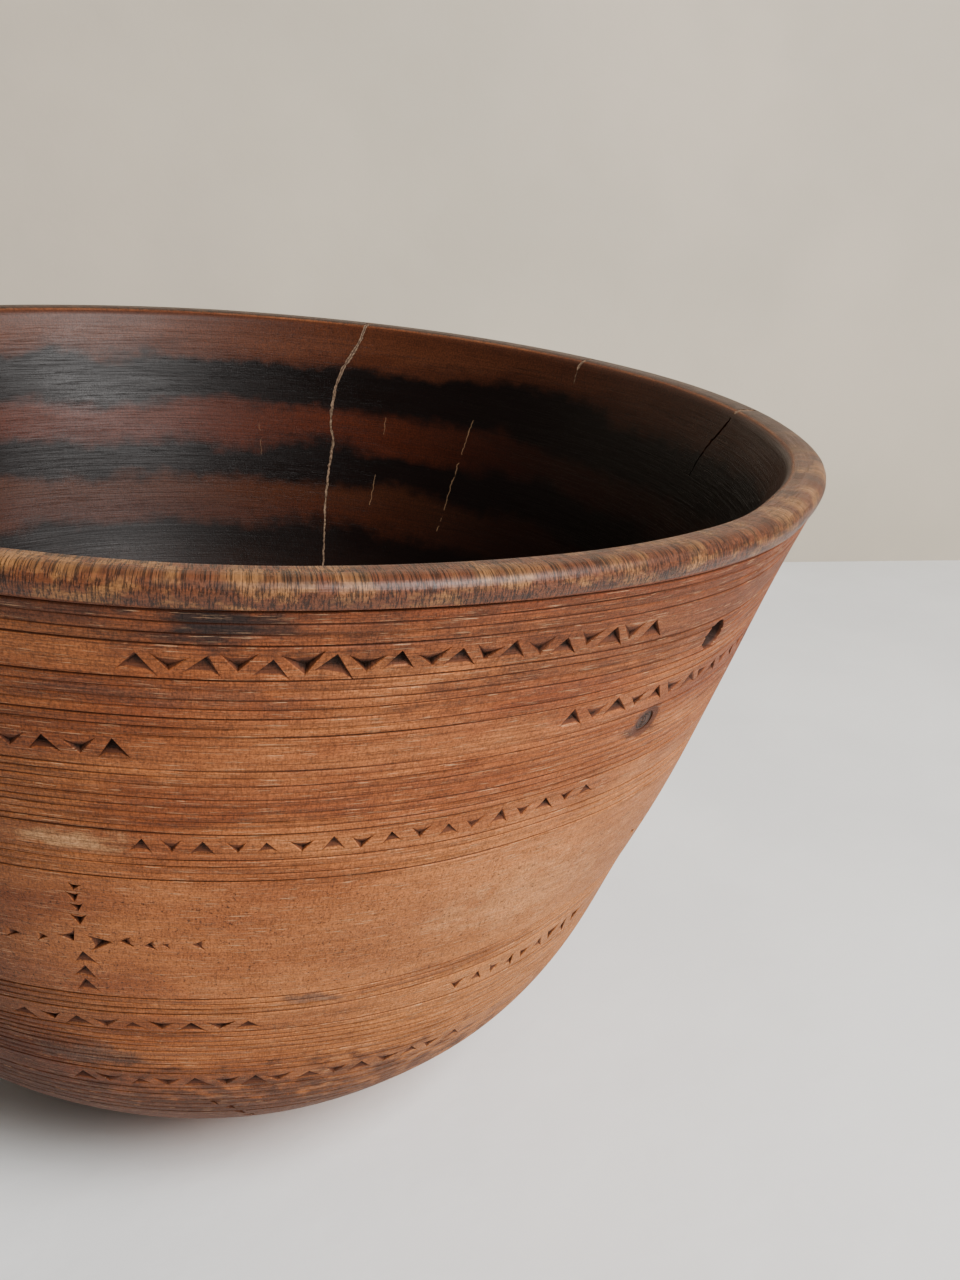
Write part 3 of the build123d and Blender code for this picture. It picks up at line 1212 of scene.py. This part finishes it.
@dataclass
class Effects:
    """The node groups that the finishes share."""

    belly_radius: float = 170.0  # mm, on which lengths round the bowl are reckoned

    def group(
        self, name: str, inputs: dict[str, Kind], outputs: dict[str, Kind]
    ) -> tuple[Graph, dict[str, Socket], bpy.types.Node]:
        """Start a node group.

        Args:
            name: the group's name.
            inputs: name and kind of each input.
            outputs: name and kind of each output.

        Returns:
            Its graph, its input sockets by name, and its output node.
        """
        tree = bpy.data.node_groups.new(name, "ShaderNodeTree")
        for key, kind in inputs.items():
            tree.interface.new_socket(name=key, in_out="INPUT", socket_type=kind.value)
        for key, kind in outputs.items():
            tree.interface.new_socket(name=key, in_out="OUTPUT", socket_type=kind.value)
        start = tree.nodes.new("NodeGroupInput")
        return Graph(tree), {key: start.outputs[key] for key in inputs}, tree.nodes.new("NodeGroupOutput")

    def __post_init__(self) -> None:
        """Build all the groups."""
        self.whereabouts = self.make_whereabouts()
        self.streaks = self.make_streaks()
        self.smudge = self.make_smudge()
        self.scratch = self.make_scratch()

    def make_whereabouts(self) -> bpy.types.NodeTree:
        """Say where a place is: angle in degrees, mm down the wall, and a seamless place.

        Returns:
            The node group.
        """
        outputs = {"Angle": Kind.VALUE, "Down": Kind.VALUE, "Place": Kind.VECTOR}
        g, _, end = self.group("whereabouts", {}, outputs)
        object_place = g.add("ShaderNodeTexCoord", {}, {}).outputs["Object"]
        spot = g.add("ShaderNodeSeparateXYZ", {}, {0: object_place})
        back = g.math("MULTIPLY", spot.outputs["Y"], -1.0)
        turn = g.math("ARCTAN2", spot.outputs["X"], back)
        down = g.add("ShaderNodeAttribute", {"attribute_name": "down"}, {}).outputs["Fac"]
        down_mm = g.math("MULTIPLY", down, 1000.0)
        across, ahead = g.math("SINE", turn), g.math("COSINE", turn)
        place = g.add("ShaderNodeCombineXYZ", {}, {0: across, 1: ahead, 2: down_mm})
        g.tree.links.new(g.math("DEGREES", turn), end.inputs["Angle"])
        g.tree.links.new(down_mm, end.inputs["Down"])
        g.tree.links.new(place.outputs[0], end.inputs["Place"])
        return g.tree

    def make_streaks(self) -> bpy.types.NodeTree:
        """Draw noise out round the bowl or down its wall, with no seam.

        Returns:
            The node group.
        """
        inputs = {"Place": Kind.VECTOR, "Along": Kind.VALUE, "Across": Kind.VALUE, "Shift": Kind.VALUE}
        g, given, end = self.group("streaks", inputs, {"Value": Kind.VALUE})
        spot = g.add("ShaderNodeSeparateXYZ", {}, {0: given["Place"]})
        reach = g.math("DIVIDE", self.belly_radius, given["Along"])
        x = g.math("MULTIPLY_ADD", spot.outputs["X"], reach, given["Shift"])
        y = g.math("MULTIPLY", spot.outputs["Y"], reach)
        z = g.math("DIVIDE", spot.outputs["Z"], given["Across"])
        place = g.add("ShaderNodeCombineXYZ", {}, {0: x, 1: y, 2: z}).outputs[0]
        inputs = {"Vector": place, "Scale": 1.0, "Detail": 3.0, "Roughness": 0.6}
        noise = g.add("ShaderNodeTexNoise", {}, inputs)
        g.tree.links.new(noise.outputs["Fac"], end.inputs["Value"])
        return g.tree

    def make_smudge(self) -> bpy.types.NodeTree:
        """Lay a soft ragged patch round one place on the wall.

        Returns:
            The node group.
        """
        names = ("Angle", "Down", "Ragged", "Middle Angle", "Middle Down", "Reach Angle", "Reach Down")
        g, given, end = self.group("smudge", {name: Kind.VALUE for name in names}, {"Mask": Kind.VALUE})
        off_side = g.math("SUBTRACT", given["Angle"], given["Middle Angle"])
        off_down = g.math("SUBTRACT", given["Down"], given["Middle Down"])
        side = g.math("DIVIDE", off_side, given["Reach Angle"])
        drop = g.math("DIVIDE", off_down, given["Reach Down"])
        away = g.math("SQRT", g.math("ADD", g.math("MULTIPLY", side, side), g.math("MULTIPLY", drop, drop)))
        rough = g.math("MULTIPLY_ADD", g.math("SUBTRACT", given["Ragged"], 0.5), 2.4, away)
        g.tree.links.new(g.ease(rough, 0.35, 1.15, 1, 0), end.inputs["Mask"])
        return g.tree

    def make_scratch(self) -> bpy.types.NodeTree:
        """Draw a thin, broken line down the wall at one angle.

        Returns:
            The node group.
        """
        names = ("Angle", "Down", "Ragged", "At", "Lean", "Top", "Bottom", "Width")
        g, given, end = self.group("scratch", {name: Kind.VALUE for name in names}, {"Mask": Kind.VALUE})
        lean = g.math("MULTIPLY", g.math("SUBTRACT", given["Down"], given["Top"]), given["Lean"])
        wander = g.math("MULTIPLY", g.math("SUBTRACT", given["Ragged"], 0.5), 1.1)
        line = g.math("ADD", g.math("ADD", given["At"], lean), wander)
        away = g.math("ABSOLUTE", g.math("SUBTRACT", given["Angle"], line))
        thin = g.math("LESS_THAN", away, given["Width"])
        below = g.math("GREATER_THAN", given["Down"], given["Top"])
        above = g.math("LESS_THAN", given["Down"], given["Bottom"])
        whole = g.math("MULTIPLY", g.math("MULTIPLY", thin, below), above)
        g.tree.links.new(g.math("MULTIPLY", whole, g.ease(given["Ragged"], 0.4, 0.5)), end.inputs["Mask"])
        return g.tree


@dataclass(frozen=True)
class TintPatch:
    """A patch of another colour on the wall."""

    angle: float  # degrees
    down: float  # mm
    reach_angle: float
    reach_down: float
    strength: float
    colour: Colour


@dataclass(frozen=True)
class Scratch:
    """A thin line down the wall."""

    angle: float  # degrees
    lean: float  # degrees round for each mm down
    top: float  # mm down
    bottom: float
    width: float  # degrees, half of it
    strength: float


@dataclass(frozen=True)
class WoodFinish:
    """Old handled wood: fibrous and dry outside, dark and oiled inside."""

    mid: Colour = (0.24, 0.066, 0.019, 1)
    light: Colour = (0.38, 0.126, 0.038, 1)
    # painted light: paler colour for the right side of the outside, which faces the key light
    key_lit_pale: Colour = (0.48, 0.19, 0.052, 1)
    # for the left side of the outside: partly the wood's own dark stain, partly painted shade away from the
    # key light
    dark: Colour = (0.045, 0.012, 0.005, 1)
    red: Colour = (0.15, 0.031, 0.010, 1)
    lip: Colour = (0.105, 0.032, 0.012, 1)
    lip_tan: Colour = (0.25, 0.112, 0.037, 1)
    lip_old: Colour = (0.035, 0.014, 0.008, 1)
    # painted shade in the scribed rings
    ring: Colour = (0.085, 0.026, 0.012, 1)
    # painted shade down in the chips, the knot hole and the cracks
    deep: Colour = (0.018, 0.008, 0.005, 1)
    pale: Colour = (0.66, 0.40, 0.22, 1)
    unlit: Colour = (0.003, 0.0012, 0.0008, 1)
    bands_end: float = 125.0  # mm down the hollow where the last band is reached
    # bands in the hollow: mm down and colour
    bands: tuple[tuple[float, Colour], ...] = (
        (0, (0.060, 0.017, 0.007, 1)), (12, (0.075, 0.022, 0.009, 1)), (17, (0.055, 0.015, 0.006, 1)),
        (23, (0.0040, 0.0016, 0.0012, 1)), (38, (0.0045, 0.0017, 0.0012, 1)), (46, (0.060, 0.013, 0.005, 1)),
        (53, (0.055, 0.011, 0.004, 1)), (61, (0.0040, 0.0016, 0.0012, 1)), (70, (0.0045, 0.0016, 0.0012, 1)),
        (78, (0.046, 0.013, 0.005, 1)), (90, (0.040, 0.010, 0.004, 1)), (99, (0.0045, 0.0017, 0.0012, 1)),
        (125, (0.012, 0.004, 0.002, 1)),
    )
    # patches of another colour: the wood's own stains and scuffs, with one painted highlight and one painted
    # shade among them
    stains_and_painted_light: tuple[TintPatch, ...] = (
        TintPatch(-4, 13, 30, 9, 0.55, (0.10, 0.032, 0.014, 1)),
        TintPatch(-14, 10, 9, 5, 0.6, (0.045, 0.018, 0.012, 1)),
        TintPatch(-1, 12, 6, 6.5, 0.95, (0.016, 0.010, 0.009, 1)),
        TintPatch(39.6, 63, 3.2, 6, 0.8, (0.04, 0.02, 0.014, 1)),
        TintPatch(9.5, 147, 4, 3.2, 0.65, (0.075, 0.05, 0.04, 1)),
        TintPatch(-15, 175, 7, 6, 0.6, (0.075, 0.05, 0.04, 1)),
        TintPatch(-34, 60, 14, 70, 0.6, (0.10, 0.04, 0.022, 1)),
        TintPatch(4, 64, 19, 10, 0.5, (0.15, 0.036, 0.012, 1)),
        TintPatch(-4, 33, 12, 4, 0.5, (0.12, 0.045, 0.025, 1)),
        TintPatch(-12, 83, 5, 4, 0.5, (0.56, 0.32, 0.15, 1)),
        # painted light: a pale patch on the right of the plain field, where the key light falls brightest
        TintPatch(33, 120, 12, 17, 0.35, (0.58, 0.26, 0.10, 1)),
        TintPatch(28, 147, 15, 5, 0.5, (0.15, 0.045, 0.016, 1)),
        TintPatch(34, 22, 34, 20, 0.6, (0.12, 0.037, 0.014, 1)),
        # painted shade: the underside painted darker near the floor, where the bowl shades it
        TintPatch(0, 215, 60, 36, 0.85, (0.07, 0.022, 0.009, 1)),
    )
    scratches: tuple[Scratch, ...] = (
        Scratch(142.4, 0.035, 36, 88, 0.08, 0.2), Scratch(156.2, 0.02, 42, 50, 0.06, 0.16),
        Scratch(156.6, 0.01, 68, 82, 0.07, 0.18), Scratch(176.0, -0.05, 50, 64, 0.05, 0.12),
    )

    def material(self, effects: Effects) -> bpy.types.Material:
        """Build the material.

        Args:
            effects: the shared node groups.

        Returns:
            The material.
        """
        material, g, shader = new_material("old_carved_wood")
        where = g.use(effects.whereabouts, {})
        angle, down, place = (where.outputs[name] for name in ("Angle", "Down", "Place"))
        cut = g.add("ShaderNodeAttribute", {"attribute_name": "cut"}, {}).outputs["Fac"]
        inside = g.add("ShaderNodeAttribute", {"attribute_name": "inside"}, {}).outputs["Fac"]

        def streaks(along: float, across: float, shift: float) -> Socket:
            """Lay one layer of drawn-out noise.

            Args:
                along: mm that it reaches round the bowl.
                across: mm that it reaches down the wall.
                shift: moves the layer, so that no two are alike.

            Returns:
                The noise, about 0.5 on average.
            """
            inputs = {"Place": place, "Along": along, "Across": across, "Shift": shift}
            return g.use(effects.streaks, inputs).outputs["Value"]

        cloud, big_cloud, rag = streaks(60, 20, 3), streaks(150, 34, 17), streaks(9, 5, 23)
        fibre, cords, pores = streaks(16, 0.5, 5), streaks(60, 2.0, 9), streaks(0.36, 2.3, 31)
        specks, grit, lines = streaks(1.1, 0.9, 41), streaks(0.62, 0.5, 53), streaks(26, 0.32, 47)
        in_hollow = g.ease(inside, 0.9, 1.0)
        on_lip = g.math("MULTIPLY", g.ease(down, 6.9, 7.9, 1, 0), g.ease(inside, 0.85, 1.0, 1, 0))

        wood = g.blend(g.ease(cloud, 0.34, 0.66), self.mid, self.light)
        wood = g.blend(g.ease(big_cloud, 0.46, 0.66, 0, 0.65), wood, self.red)
        # painted light: the right side of the outside, lower on the wall, is painted paler where the key
        # light falls
        key_lit_side = g.math("MULTIPLY", g.ease(angle, -25, 45), g.ease(angle, 80, 150, 1, 0))
        key_lit_side = g.math("MULTIPLY", key_lit_side, g.ease(down, 55, 135))
        wood = g.blend(g.math("MULTIPLY", key_lit_side, 0.5), wood, self.key_lit_pale)
        # darker towards the left side: partly the wood's own stain, partly painted shade away from the key
        # light
        left = g.math("MULTIPLY", g.ease(angle, 0, -34, 0, 0.85), g.ease(angle, -90, -150, 1, 0))
        wood = g.blend(left, wood, self.dark)
        # lay the patches: stains and scuffs, the painted highlight and the painted shade
        for tint_patch in self.stains_and_painted_light:
            inputs = {
                "Angle": angle, "Down": down, "Ragged": rag,
                "Middle Angle": tint_patch.angle, "Middle Down": tint_patch.down,
                "Reach Angle": tint_patch.reach_angle, "Reach Down": tint_patch.reach_down,
            }
            mask = g.use(effects.smudge, inputs).outputs["Mask"]
            wood = g.blend(g.math("MULTIPLY", mask, tint_patch.strength), wood, tint_patch.colour)
        lip = g.blend(g.ease(streaks(9, 5, 67), 0.46, 0.64, 0, 0.8), self.lip, self.lip_tan)
        lip = g.blend(g.ease(streaks(7, 4, 91), 0.52, 0.7, 0, 0.7), lip, self.lip_old)
        turned_away = g.math("COSINE", g.math("RADIANS", angle))
        lip = g.blend(g.ease(turned_away, 0.45, -0.1, 0, 0.85), lip, self.lip_old)
        wood = g.blend(on_lip, wood, lip)
        shade = g.math("MULTIPLY", g.ease(fibre, 0.3, 0.7, 0.87, 1.11), g.ease(cords, 0.3, 0.7, 0.95, 1.05))
        shade = g.math("MULTIPLY", shade, g.ease(grit, 0.3, 0.7, 0.68, 1.32))
        pore_depth = g.math("MULTIPLY_ADD", on_lip, 0.46, 0.24)
        pore_mask = g.math("MULTIPLY", g.ease(pores, 0.5, 0.6), pore_depth)
        field_mask = g.between(down, 98, 143, 3)
        speck_depth = g.math("MULTIPLY_ADD", field_mask, 0.5, 0.18)
        speck_mask = g.math("MULTIPLY", g.ease(specks, 0.6, 0.68), speck_depth)
        scribed = g.math("MAXIMUM", g.between(down, 8, 97, 1), g.between(down, 144, 212, 2))
        line_mask = g.math("MULTIPLY", g.math("MULTIPLY", g.ease(lines, 0.54, 0.64), scribed), 0.32)
        for mask in (pore_mask, speck_mask, line_mask):
            shade = g.math("MULTIPLY", shade, g.math("SUBTRACT", 1.0, mask))
        grey = g.add("ShaderNodeCombineColor", {}, {0: shade, 1: shade, 2: shade}).outputs[0]
        wood = g.blend(1.0, wood, grey, "MULTIPLY")
        whiskers = g.math("MULTIPLY", g.ease(streaks(7, 0.3, 71), 0.6, 0.68), 0.4)
        wood = g.blend(g.math("MULTIPLY", whiskers, g.math("SUBTRACT", 1.0, on_lip)), wood, self.pale)
        # painted shade: the scribed rings darken the deeper they are cut
        wood = g.blend(g.ease(cut, 0.045, 0.105, 0, 0.9), wood, self.ring)
        # painted shade: nearly black down in the chips and the knot hole, the deeper the darker, with ragged
        # edges
        ragged_depth = g.math("MULTIPLY_ADD", g.math("SUBTRACT", streaks(0.7, 2.2, 83), 0.5), 0.35, cut)
        painted_chip_shade = g.math("MULTIPLY", g.ease(ragged_depth, 0.14, 0.38), g.ease(cut, 0.12, 0.2))
        wood = g.blend(g.math("MULTIPLY", painted_chip_shade, 0.92), wood, self.deep)

        wobble = g.math("MULTIPLY_ADD", g.math("SUBTRACT", streaks(46, 24, 61), 0.5), 22.0, down)
        wobble = g.math("MULTIPLY_ADD", g.math("SUBTRACT", streaks(7, 7, 63), 0.5), 9.0, wobble)
        stops = tuple((mm / self.bands_end, colour) for mm, colour in self.bands)
        hollow = g.ramp(g.math("DIVIDE", wobble, self.bands_end), stops)
        hollow = g.blend(1.0, hollow, grey, "MULTIPLY")
        across = g.add("ShaderNodeSeparateXYZ", {}, {0: place}).outputs["X"]
        unlit = g.math("MULTIPLY", g.ease(across, 0.2, 0.8, 0, 0.8), g.ease(down, 6, 40, 0.35, 1))
        hollow = g.blend(unlit, hollow, self.unlit)
        for scratch in self.scratches:
            inputs = {
                "Angle": angle, "Down": down, "Ragged": rag, "At": scratch.angle, "Lean": scratch.lean,
                "Top": scratch.top, "Bottom": scratch.bottom, "Width": scratch.width,
            }
            mask = g.use(effects.scratch, inputs).outputs["Mask"]
            hollow = g.blend(g.math("MULTIPLY", mask, scratch.strength), hollow, self.pale)
        # painted shade down in the cracks of the hollow, the deeper the darker
        hollow = g.blend(g.ease(cut, 0.1, 0.5, 0, 0.9), hollow, self.deep)
        colour = g.blend(in_hollow, wood, hollow)

        dry = g.ease(fibre, 0.3, 0.7, 0.66, 0.54)
        dry = g.math("MULTIPLY_ADD", on_lip, -0.12, dry)
        oiled = g.ease(cloud, 0.3, 0.7, 0.34, 0.46)
        keep = g.math("SUBTRACT", 1.0, in_hollow)
        roughness = g.math("ADD", g.math("MULTIPLY", dry, keep), g.math("MULTIPLY", oiled, in_hollow))
        height = g.math("MULTIPLY", g.ease(fibre, 0.2, 0.8), 0.09)
        height = g.math("MULTIPLY_ADD", g.ease(cords, 0.2, 0.8), 0.16, height)
        height = g.math("MULTIPLY_ADD", grit, 0.06, height)
        for mask, deep in ((pore_mask, -0.22), (speck_mask, -0.14), (line_mask, -0.42)):
            height = g.math("MULTIPLY_ADD", mask, deep, height)
        height = g.math("MULTIPLY", height, g.ease(in_hollow, 0, 1, 1, 0.3))
        relief = {"Height": height, "Distance": MM, "Strength": 1.0}
        bump = g.add("ShaderNodeBump", {}, relief).outputs["Normal"]
        for name, socket in (("Base Color", colour), ("Roughness", roughness), ("Normal", bump)):
            g.tree.links.new(socket, shader.inputs[name])
        polished = g.math("MULTIPLY", in_hollow, g.ease(across, 0.3, -0.2, 0.0, 0.1))
        g.tree.links.new(g.math("MULTIPLY_ADD", on_lip, 0.3, polished), shader.inputs["Coat Weight"])
        shader.inputs["Coat Roughness"].default_value = 0.4
        shader.inputs["Specular IOR Level"].default_value = 0.17
        return material


@dataclass(frozen=True)
class FillerFinish:
    """Matt, gritty filler that has shrunk from its middle near the lip."""

    name: str
    pale: Colour = (0.22, 0.14, 0.085, 1)
    dull: Colour = (0.085, 0.048, 0.027, 1)
    gap: Colour = (0.04, 0.02, 0.012, 1)
    gap_ends: float = 0.25

    def material(self) -> bpy.types.Material:
        """Build the material.

        Returns:
            The material.
        """
        material, g, shader = new_material(self.name)
        coordinates = g.add("ShaderNodeTexCoord", {}, {})
        inputs = {"Vector": coordinates.outputs["Object"], "Scale": 900.0, "Detail": 4.0}
        grit = g.add("ShaderNodeTexNoise", {}, inputs).outputs["Fac"]
        inputs = {"Vector": coordinates.outputs["Object"], "Scale": 160.0, "Detail": 2.0}
        clots = g.add("ShaderNodeTexNoise", {}, inputs).outputs["Fac"]
        colour = g.blend(g.ease(grit, 0.35, 0.65), self.dull, self.pale)
        colour = g.blend(g.ease(clots, 0.5, 0.7, 0, 0.5), colour, self.dull)
        flat = g.add("ShaderNodeSeparateXYZ", {}, {0: coordinates.outputs["UV"]})
        middle = g.math("ABSOLUTE", g.math("SUBTRACT", flat.outputs["X"], 0.5))
        near = g.ease(flat.outputs["Y"], self.gap_ends, self.gap_ends + 0.06, 1, 0)
        ragged = g.math("MULTIPLY_ADD", clots, 0.3, middle)
        colour = g.blend(g.math("MULTIPLY", g.ease(ragged, 0.24, 0.3, 1, 0), near), colour, self.gap)
        inputs = {"Height": grit, "Distance": 0.4 * MM, "Strength": 0.8}
        g.tree.links.new(colour, shader.inputs["Base Color"])
        g.tree.links.new(g.ease(grit, 0.3, 0.7, 0.95, 0.78), shader.inputs["Roughness"])
        g.tree.links.new(g.add("ShaderNodeBump", {}, inputs).outputs["Normal"], shader.inputs["Normal"])
        return material


@dataclass(frozen=True)
class KnotFinish:
    """Dark heartwood of a tight knot, in rings."""

    brown: Colour = (0.075, 0.030, 0.016, 1)
    black: Colour = (0.018, 0.009, 0.006, 1)

    def material(self) -> bpy.types.Material:
        """Build the material.

        Returns:
            The material.
        """
        material, g, shader = new_material("tight_knot_wood")
        ring = g.add("ShaderNodeAttribute", {"attribute_name": "ring"}, {}).outputs["Fac"]
        spot = g.add("ShaderNodeTexCoord", {}, {}).outputs["Object"]
        inputs = {"Vector": spot, "Scale": 700.0, "Detail": 3.0}
        noise = g.add("ShaderNodeTexNoise", {}, inputs).outputs["Fac"]
        wave = g.math("SINE", g.math("MULTIPLY_ADD", ring, 26.0, g.math("MULTIPLY", noise, 6.0)))
        colour = g.blend(g.ease(wave, -0.6, 0.8), self.black, self.brown)
        g.tree.links.new(colour, shader.inputs["Base Color"])
        g.tree.links.new(g.ease(noise, 0.3, 0.7, 0.95, 0.7), shader.inputs["Roughness"])
        inputs = {"Height": wave, "Distance": 0.08 * MM, "Strength": 0.7}
        g.tree.links.new(g.add("ShaderNodeBump", {}, inputs).outputs["Normal"], shader.inputs["Normal"])
        return material


@dataclass(frozen=True)
class FloorFinish:
    """Pale trowelled floor or wall: nearly plain, with faint clouds and a slight unevenness."""

    name: str = "pale_floor"
    pale: Colour = (0.80, 0.805, 0.80, 1)
    dull: Colour = (0.74, 0.745, 0.745, 1)
    one_sided: bool = False  # clear from behind, so that the bowl can be seen from every side

    def material(self) -> bpy.types.Material:
        """Build the material.

        Returns:
            The material.
        """
        material, g, shader = new_material(self.name)
        spot = g.add("ShaderNodeTexCoord", {}, {}).outputs["Object"]
        slow = {"Vector": spot, "Scale": 5.0, "Detail": 5.0}
        quick = {"Vector": spot, "Scale": 34.0, "Detail": 6.0}
        clouds = g.add("ShaderNodeTexNoise", {}, slow).outputs["Fac"]
        trowel = g.add("ShaderNodeTexNoise", {}, quick).outputs["Fac"]
        colour = g.blend(g.ease(clouds, 0.35, 0.65), self.dull, self.pale)
        height = g.math("MULTIPLY_ADD", g.ease(trowel, 0.4, 0.65), 0.5, clouds)
        g.tree.links.new(colour, shader.inputs["Base Color"])
        g.tree.links.new(g.ease(trowel, 0.3, 0.7, 0.72, 0.9), shader.inputs["Roughness"])
        bump = g.add("ShaderNodeBump", {}, {"Height": height, "Distance": 0.5 * MM, "Strength": 0.6})
        g.tree.links.new(bump.outputs["Normal"], shader.inputs["Normal"])
        if self.one_sided:
            behind = g.add("ShaderNodeNewGeometry", {}, {}).outputs["Backfacing"]
            clear = g.add("ShaderNodeBsdfTransparent", {}, {}).outputs[0]
            sides = g.add("ShaderNodeMixShader", {}, {0: behind, 1: shader.outputs[0], 2: clear})
            g.tree.links.new(sides.outputs[0], g.tree.nodes["Material Output"].inputs["Surface"])
        return material


@dataclass(frozen=True)
class Lamp:
    """A square soft light that faces the bowl."""

    name: str
    azimuth: float  # degrees from the front, positive to the right
    elevation: float  # degrees above the floor
    distance: float  # metres from the bowl
    size: float  # side in metres
    power: float  # watts
    tint: tuple[float, float, float]


@dataclass(frozen=True)
class Studio:
    """Pale floor and wall, soft light from the front right, and the camera."""

    target: tuple[float, float, float] = (0, 0, 0.12)
    camera_back: float = 480.8 * MM
    camera_up: float = 336.5 * MM
    heading: float = 10.90  # degrees, as pitch and roll
    pitch: float = 20.41
    roll: float = 5.29
    lens: float = 39.375
    key: Lamp = Lamp("key", 42, 42, 1.9, 1.0, 76, (1.0, 0.99, 0.975))
    sky: Colour = (0.80, 0.765, 0.715, 1)
    sky_strength: float = 0.24
    # metres; the wall stands on the last two
    floor_corners: tuple[Point, ...] = ((-1.5, -1.6), (1.7, -1.6), (-1.5, 0.33), (1.7, 0.794))
    wall_height: float = 1.6
    plaster: FloorFinish = FloorFinish(
        "plaster", (0.52, 0.455, 0.365, 1), (0.47, 0.415, 0.335, 1), one_sided=True
    )

    def camera(self) -> None:
        """Place the camera and make it the scene's."""
        yaw, pitch, roll = (radians(v) for v in (self.heading, self.pitch, self.roll))
        ahead = Vector((sin(yaw) * cos(pitch), cos(yaw) * cos(pitch), -sin(pitch)))
        level = Vector((cos(yaw), -sin(yaw), 0))
        over = level.cross(ahead)
        right = level * cos(roll) + over * sin(roll)
        up = over * cos(roll) - level * sin(roll)
        data = bpy.data.cameras.new("camera")
        data.lens = self.lens
        data.clip_start = 10 * MM
        camera = bpy.data.objects.new("camera", data)
        axes = Matrix((right, up, -ahead)).transposed().to_4x4()
        camera.matrix_world = Matrix.Translation((0, -self.camera_back, self.camera_up)) @ axes
        bpy.context.scene.collection.objects.link(camera)
        bpy.context.scene.camera = camera

    def light(self, lamp: Lamp) -> None:
        """Hang one light.

        Args:
            lamp: the light.
        """
        data = bpy.data.lights.new(lamp.name, "AREA")
        data.size = lamp.size
        data.energy = lamp.power
        data.color = lamp.tint
        light = bpy.data.objects.new(lamp.name, data)
        a, e = radians(lamp.azimuth), radians(lamp.elevation)
        away = Vector((sin(a) * cos(e), -cos(a) * cos(e), sin(e)))
        facing = away.to_track_quat("Z", "Y").to_matrix().to_4x4()
        light.matrix_world = Matrix.Translation(Vector(self.target) + away * lamp.distance) @ facing
        bpy.context.scene.collection.objects.link(light)

    def sheet(
        self, name: str, corners: list[tuple[float, float, float]], finish: FloorFinish
    ) -> bpy.types.Object:
        """Make one flat sheet, such as the floor.

        Args:
            name: the sheet's name.
            corners: its four corners.
            finish: what it is made of.

        Returns:
            The sheet.
        """
        bpy.ops.object.select_all(action="DESELECT")
        bpy.ops.mesh.primitive_plane_add(size=1, location=(0, 0, 0))
        sheet = bpy.context.active_object
        sheet.name = name
        move_corners(sheet, np.array(corners, float))
        sheet.data.materials.append(finish.material())
        return sheet

    def build(self) -> None:
        """Set up world, floor, wall, light and camera."""
        world = bpy.data.worlds.new("studio")
        world.use_nodes = True
        background = world.node_tree.nodes["Background"]
        background.inputs["Color"].default_value = self.sky
        background.inputs["Strength"].default_value = self.sky_strength
        bpy.context.scene.world = world
        floor = self.sheet("floor", [(x, y, 0) for x, y in self.floor_corners], FloorFinish())
        floor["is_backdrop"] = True
        left, right = self.floor_corners[2:]
        top = self.wall_height
        wall = self.sheet("back_wall", [(*left, 0), (*right, 0), (*left, top), (*right, top)], self.plaster)
        wall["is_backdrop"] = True
        self.light(self.key)
        self.camera()


def main() -> None:
    """Build every piece in order, dress it and put it on the frame."""
    logging.basicConfig(level=logging.INFO, format="%(name)s: %(message)s")
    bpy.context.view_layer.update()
    wall = Wall()
    hand = HandWork(wall)
    knot, cracks = KnotWork(), CrackWork()
    bowl = BowlBody(wall, hand).build(knot, cracks)
    pieces = [(bowl, "bowl_body", "carved_wood", WoodFinish().material(Effects()))]
    matt = FillerFinish("matt_filler").material()
    filled = {"long": cracks.long, "middle": cracks.middle, "right": cracks.right}
    for seed, (name, path) in enumerate(filled.items()):
        ribbon = cracks.filler(f"filler_{name}", path, wall, seed)
        move_corners(ribbon, hand.bend(corners_of(ribbon)))
        pieces.append((ribbon, f"crack_filler_{name}", "crack_filler", matt))
    plug = knot.knot(wall)
    move_corners(plug, hand.bend(corners_of(plug)))
    pieces.append((plug, "tight_knot", "knot_wood", KnotFinish().material()))
    for piece, node, slot, material in pieces:
        piece.data.materials.append(material)
        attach(piece, ROOT)
        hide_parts(node)
        piece.data.calc_loop_triangles()
        log.info("%s: %d triangles", piece.name, len(piece.data.loop_triangles))
    Studio().build()


if __name__ == "__main__":
    main()
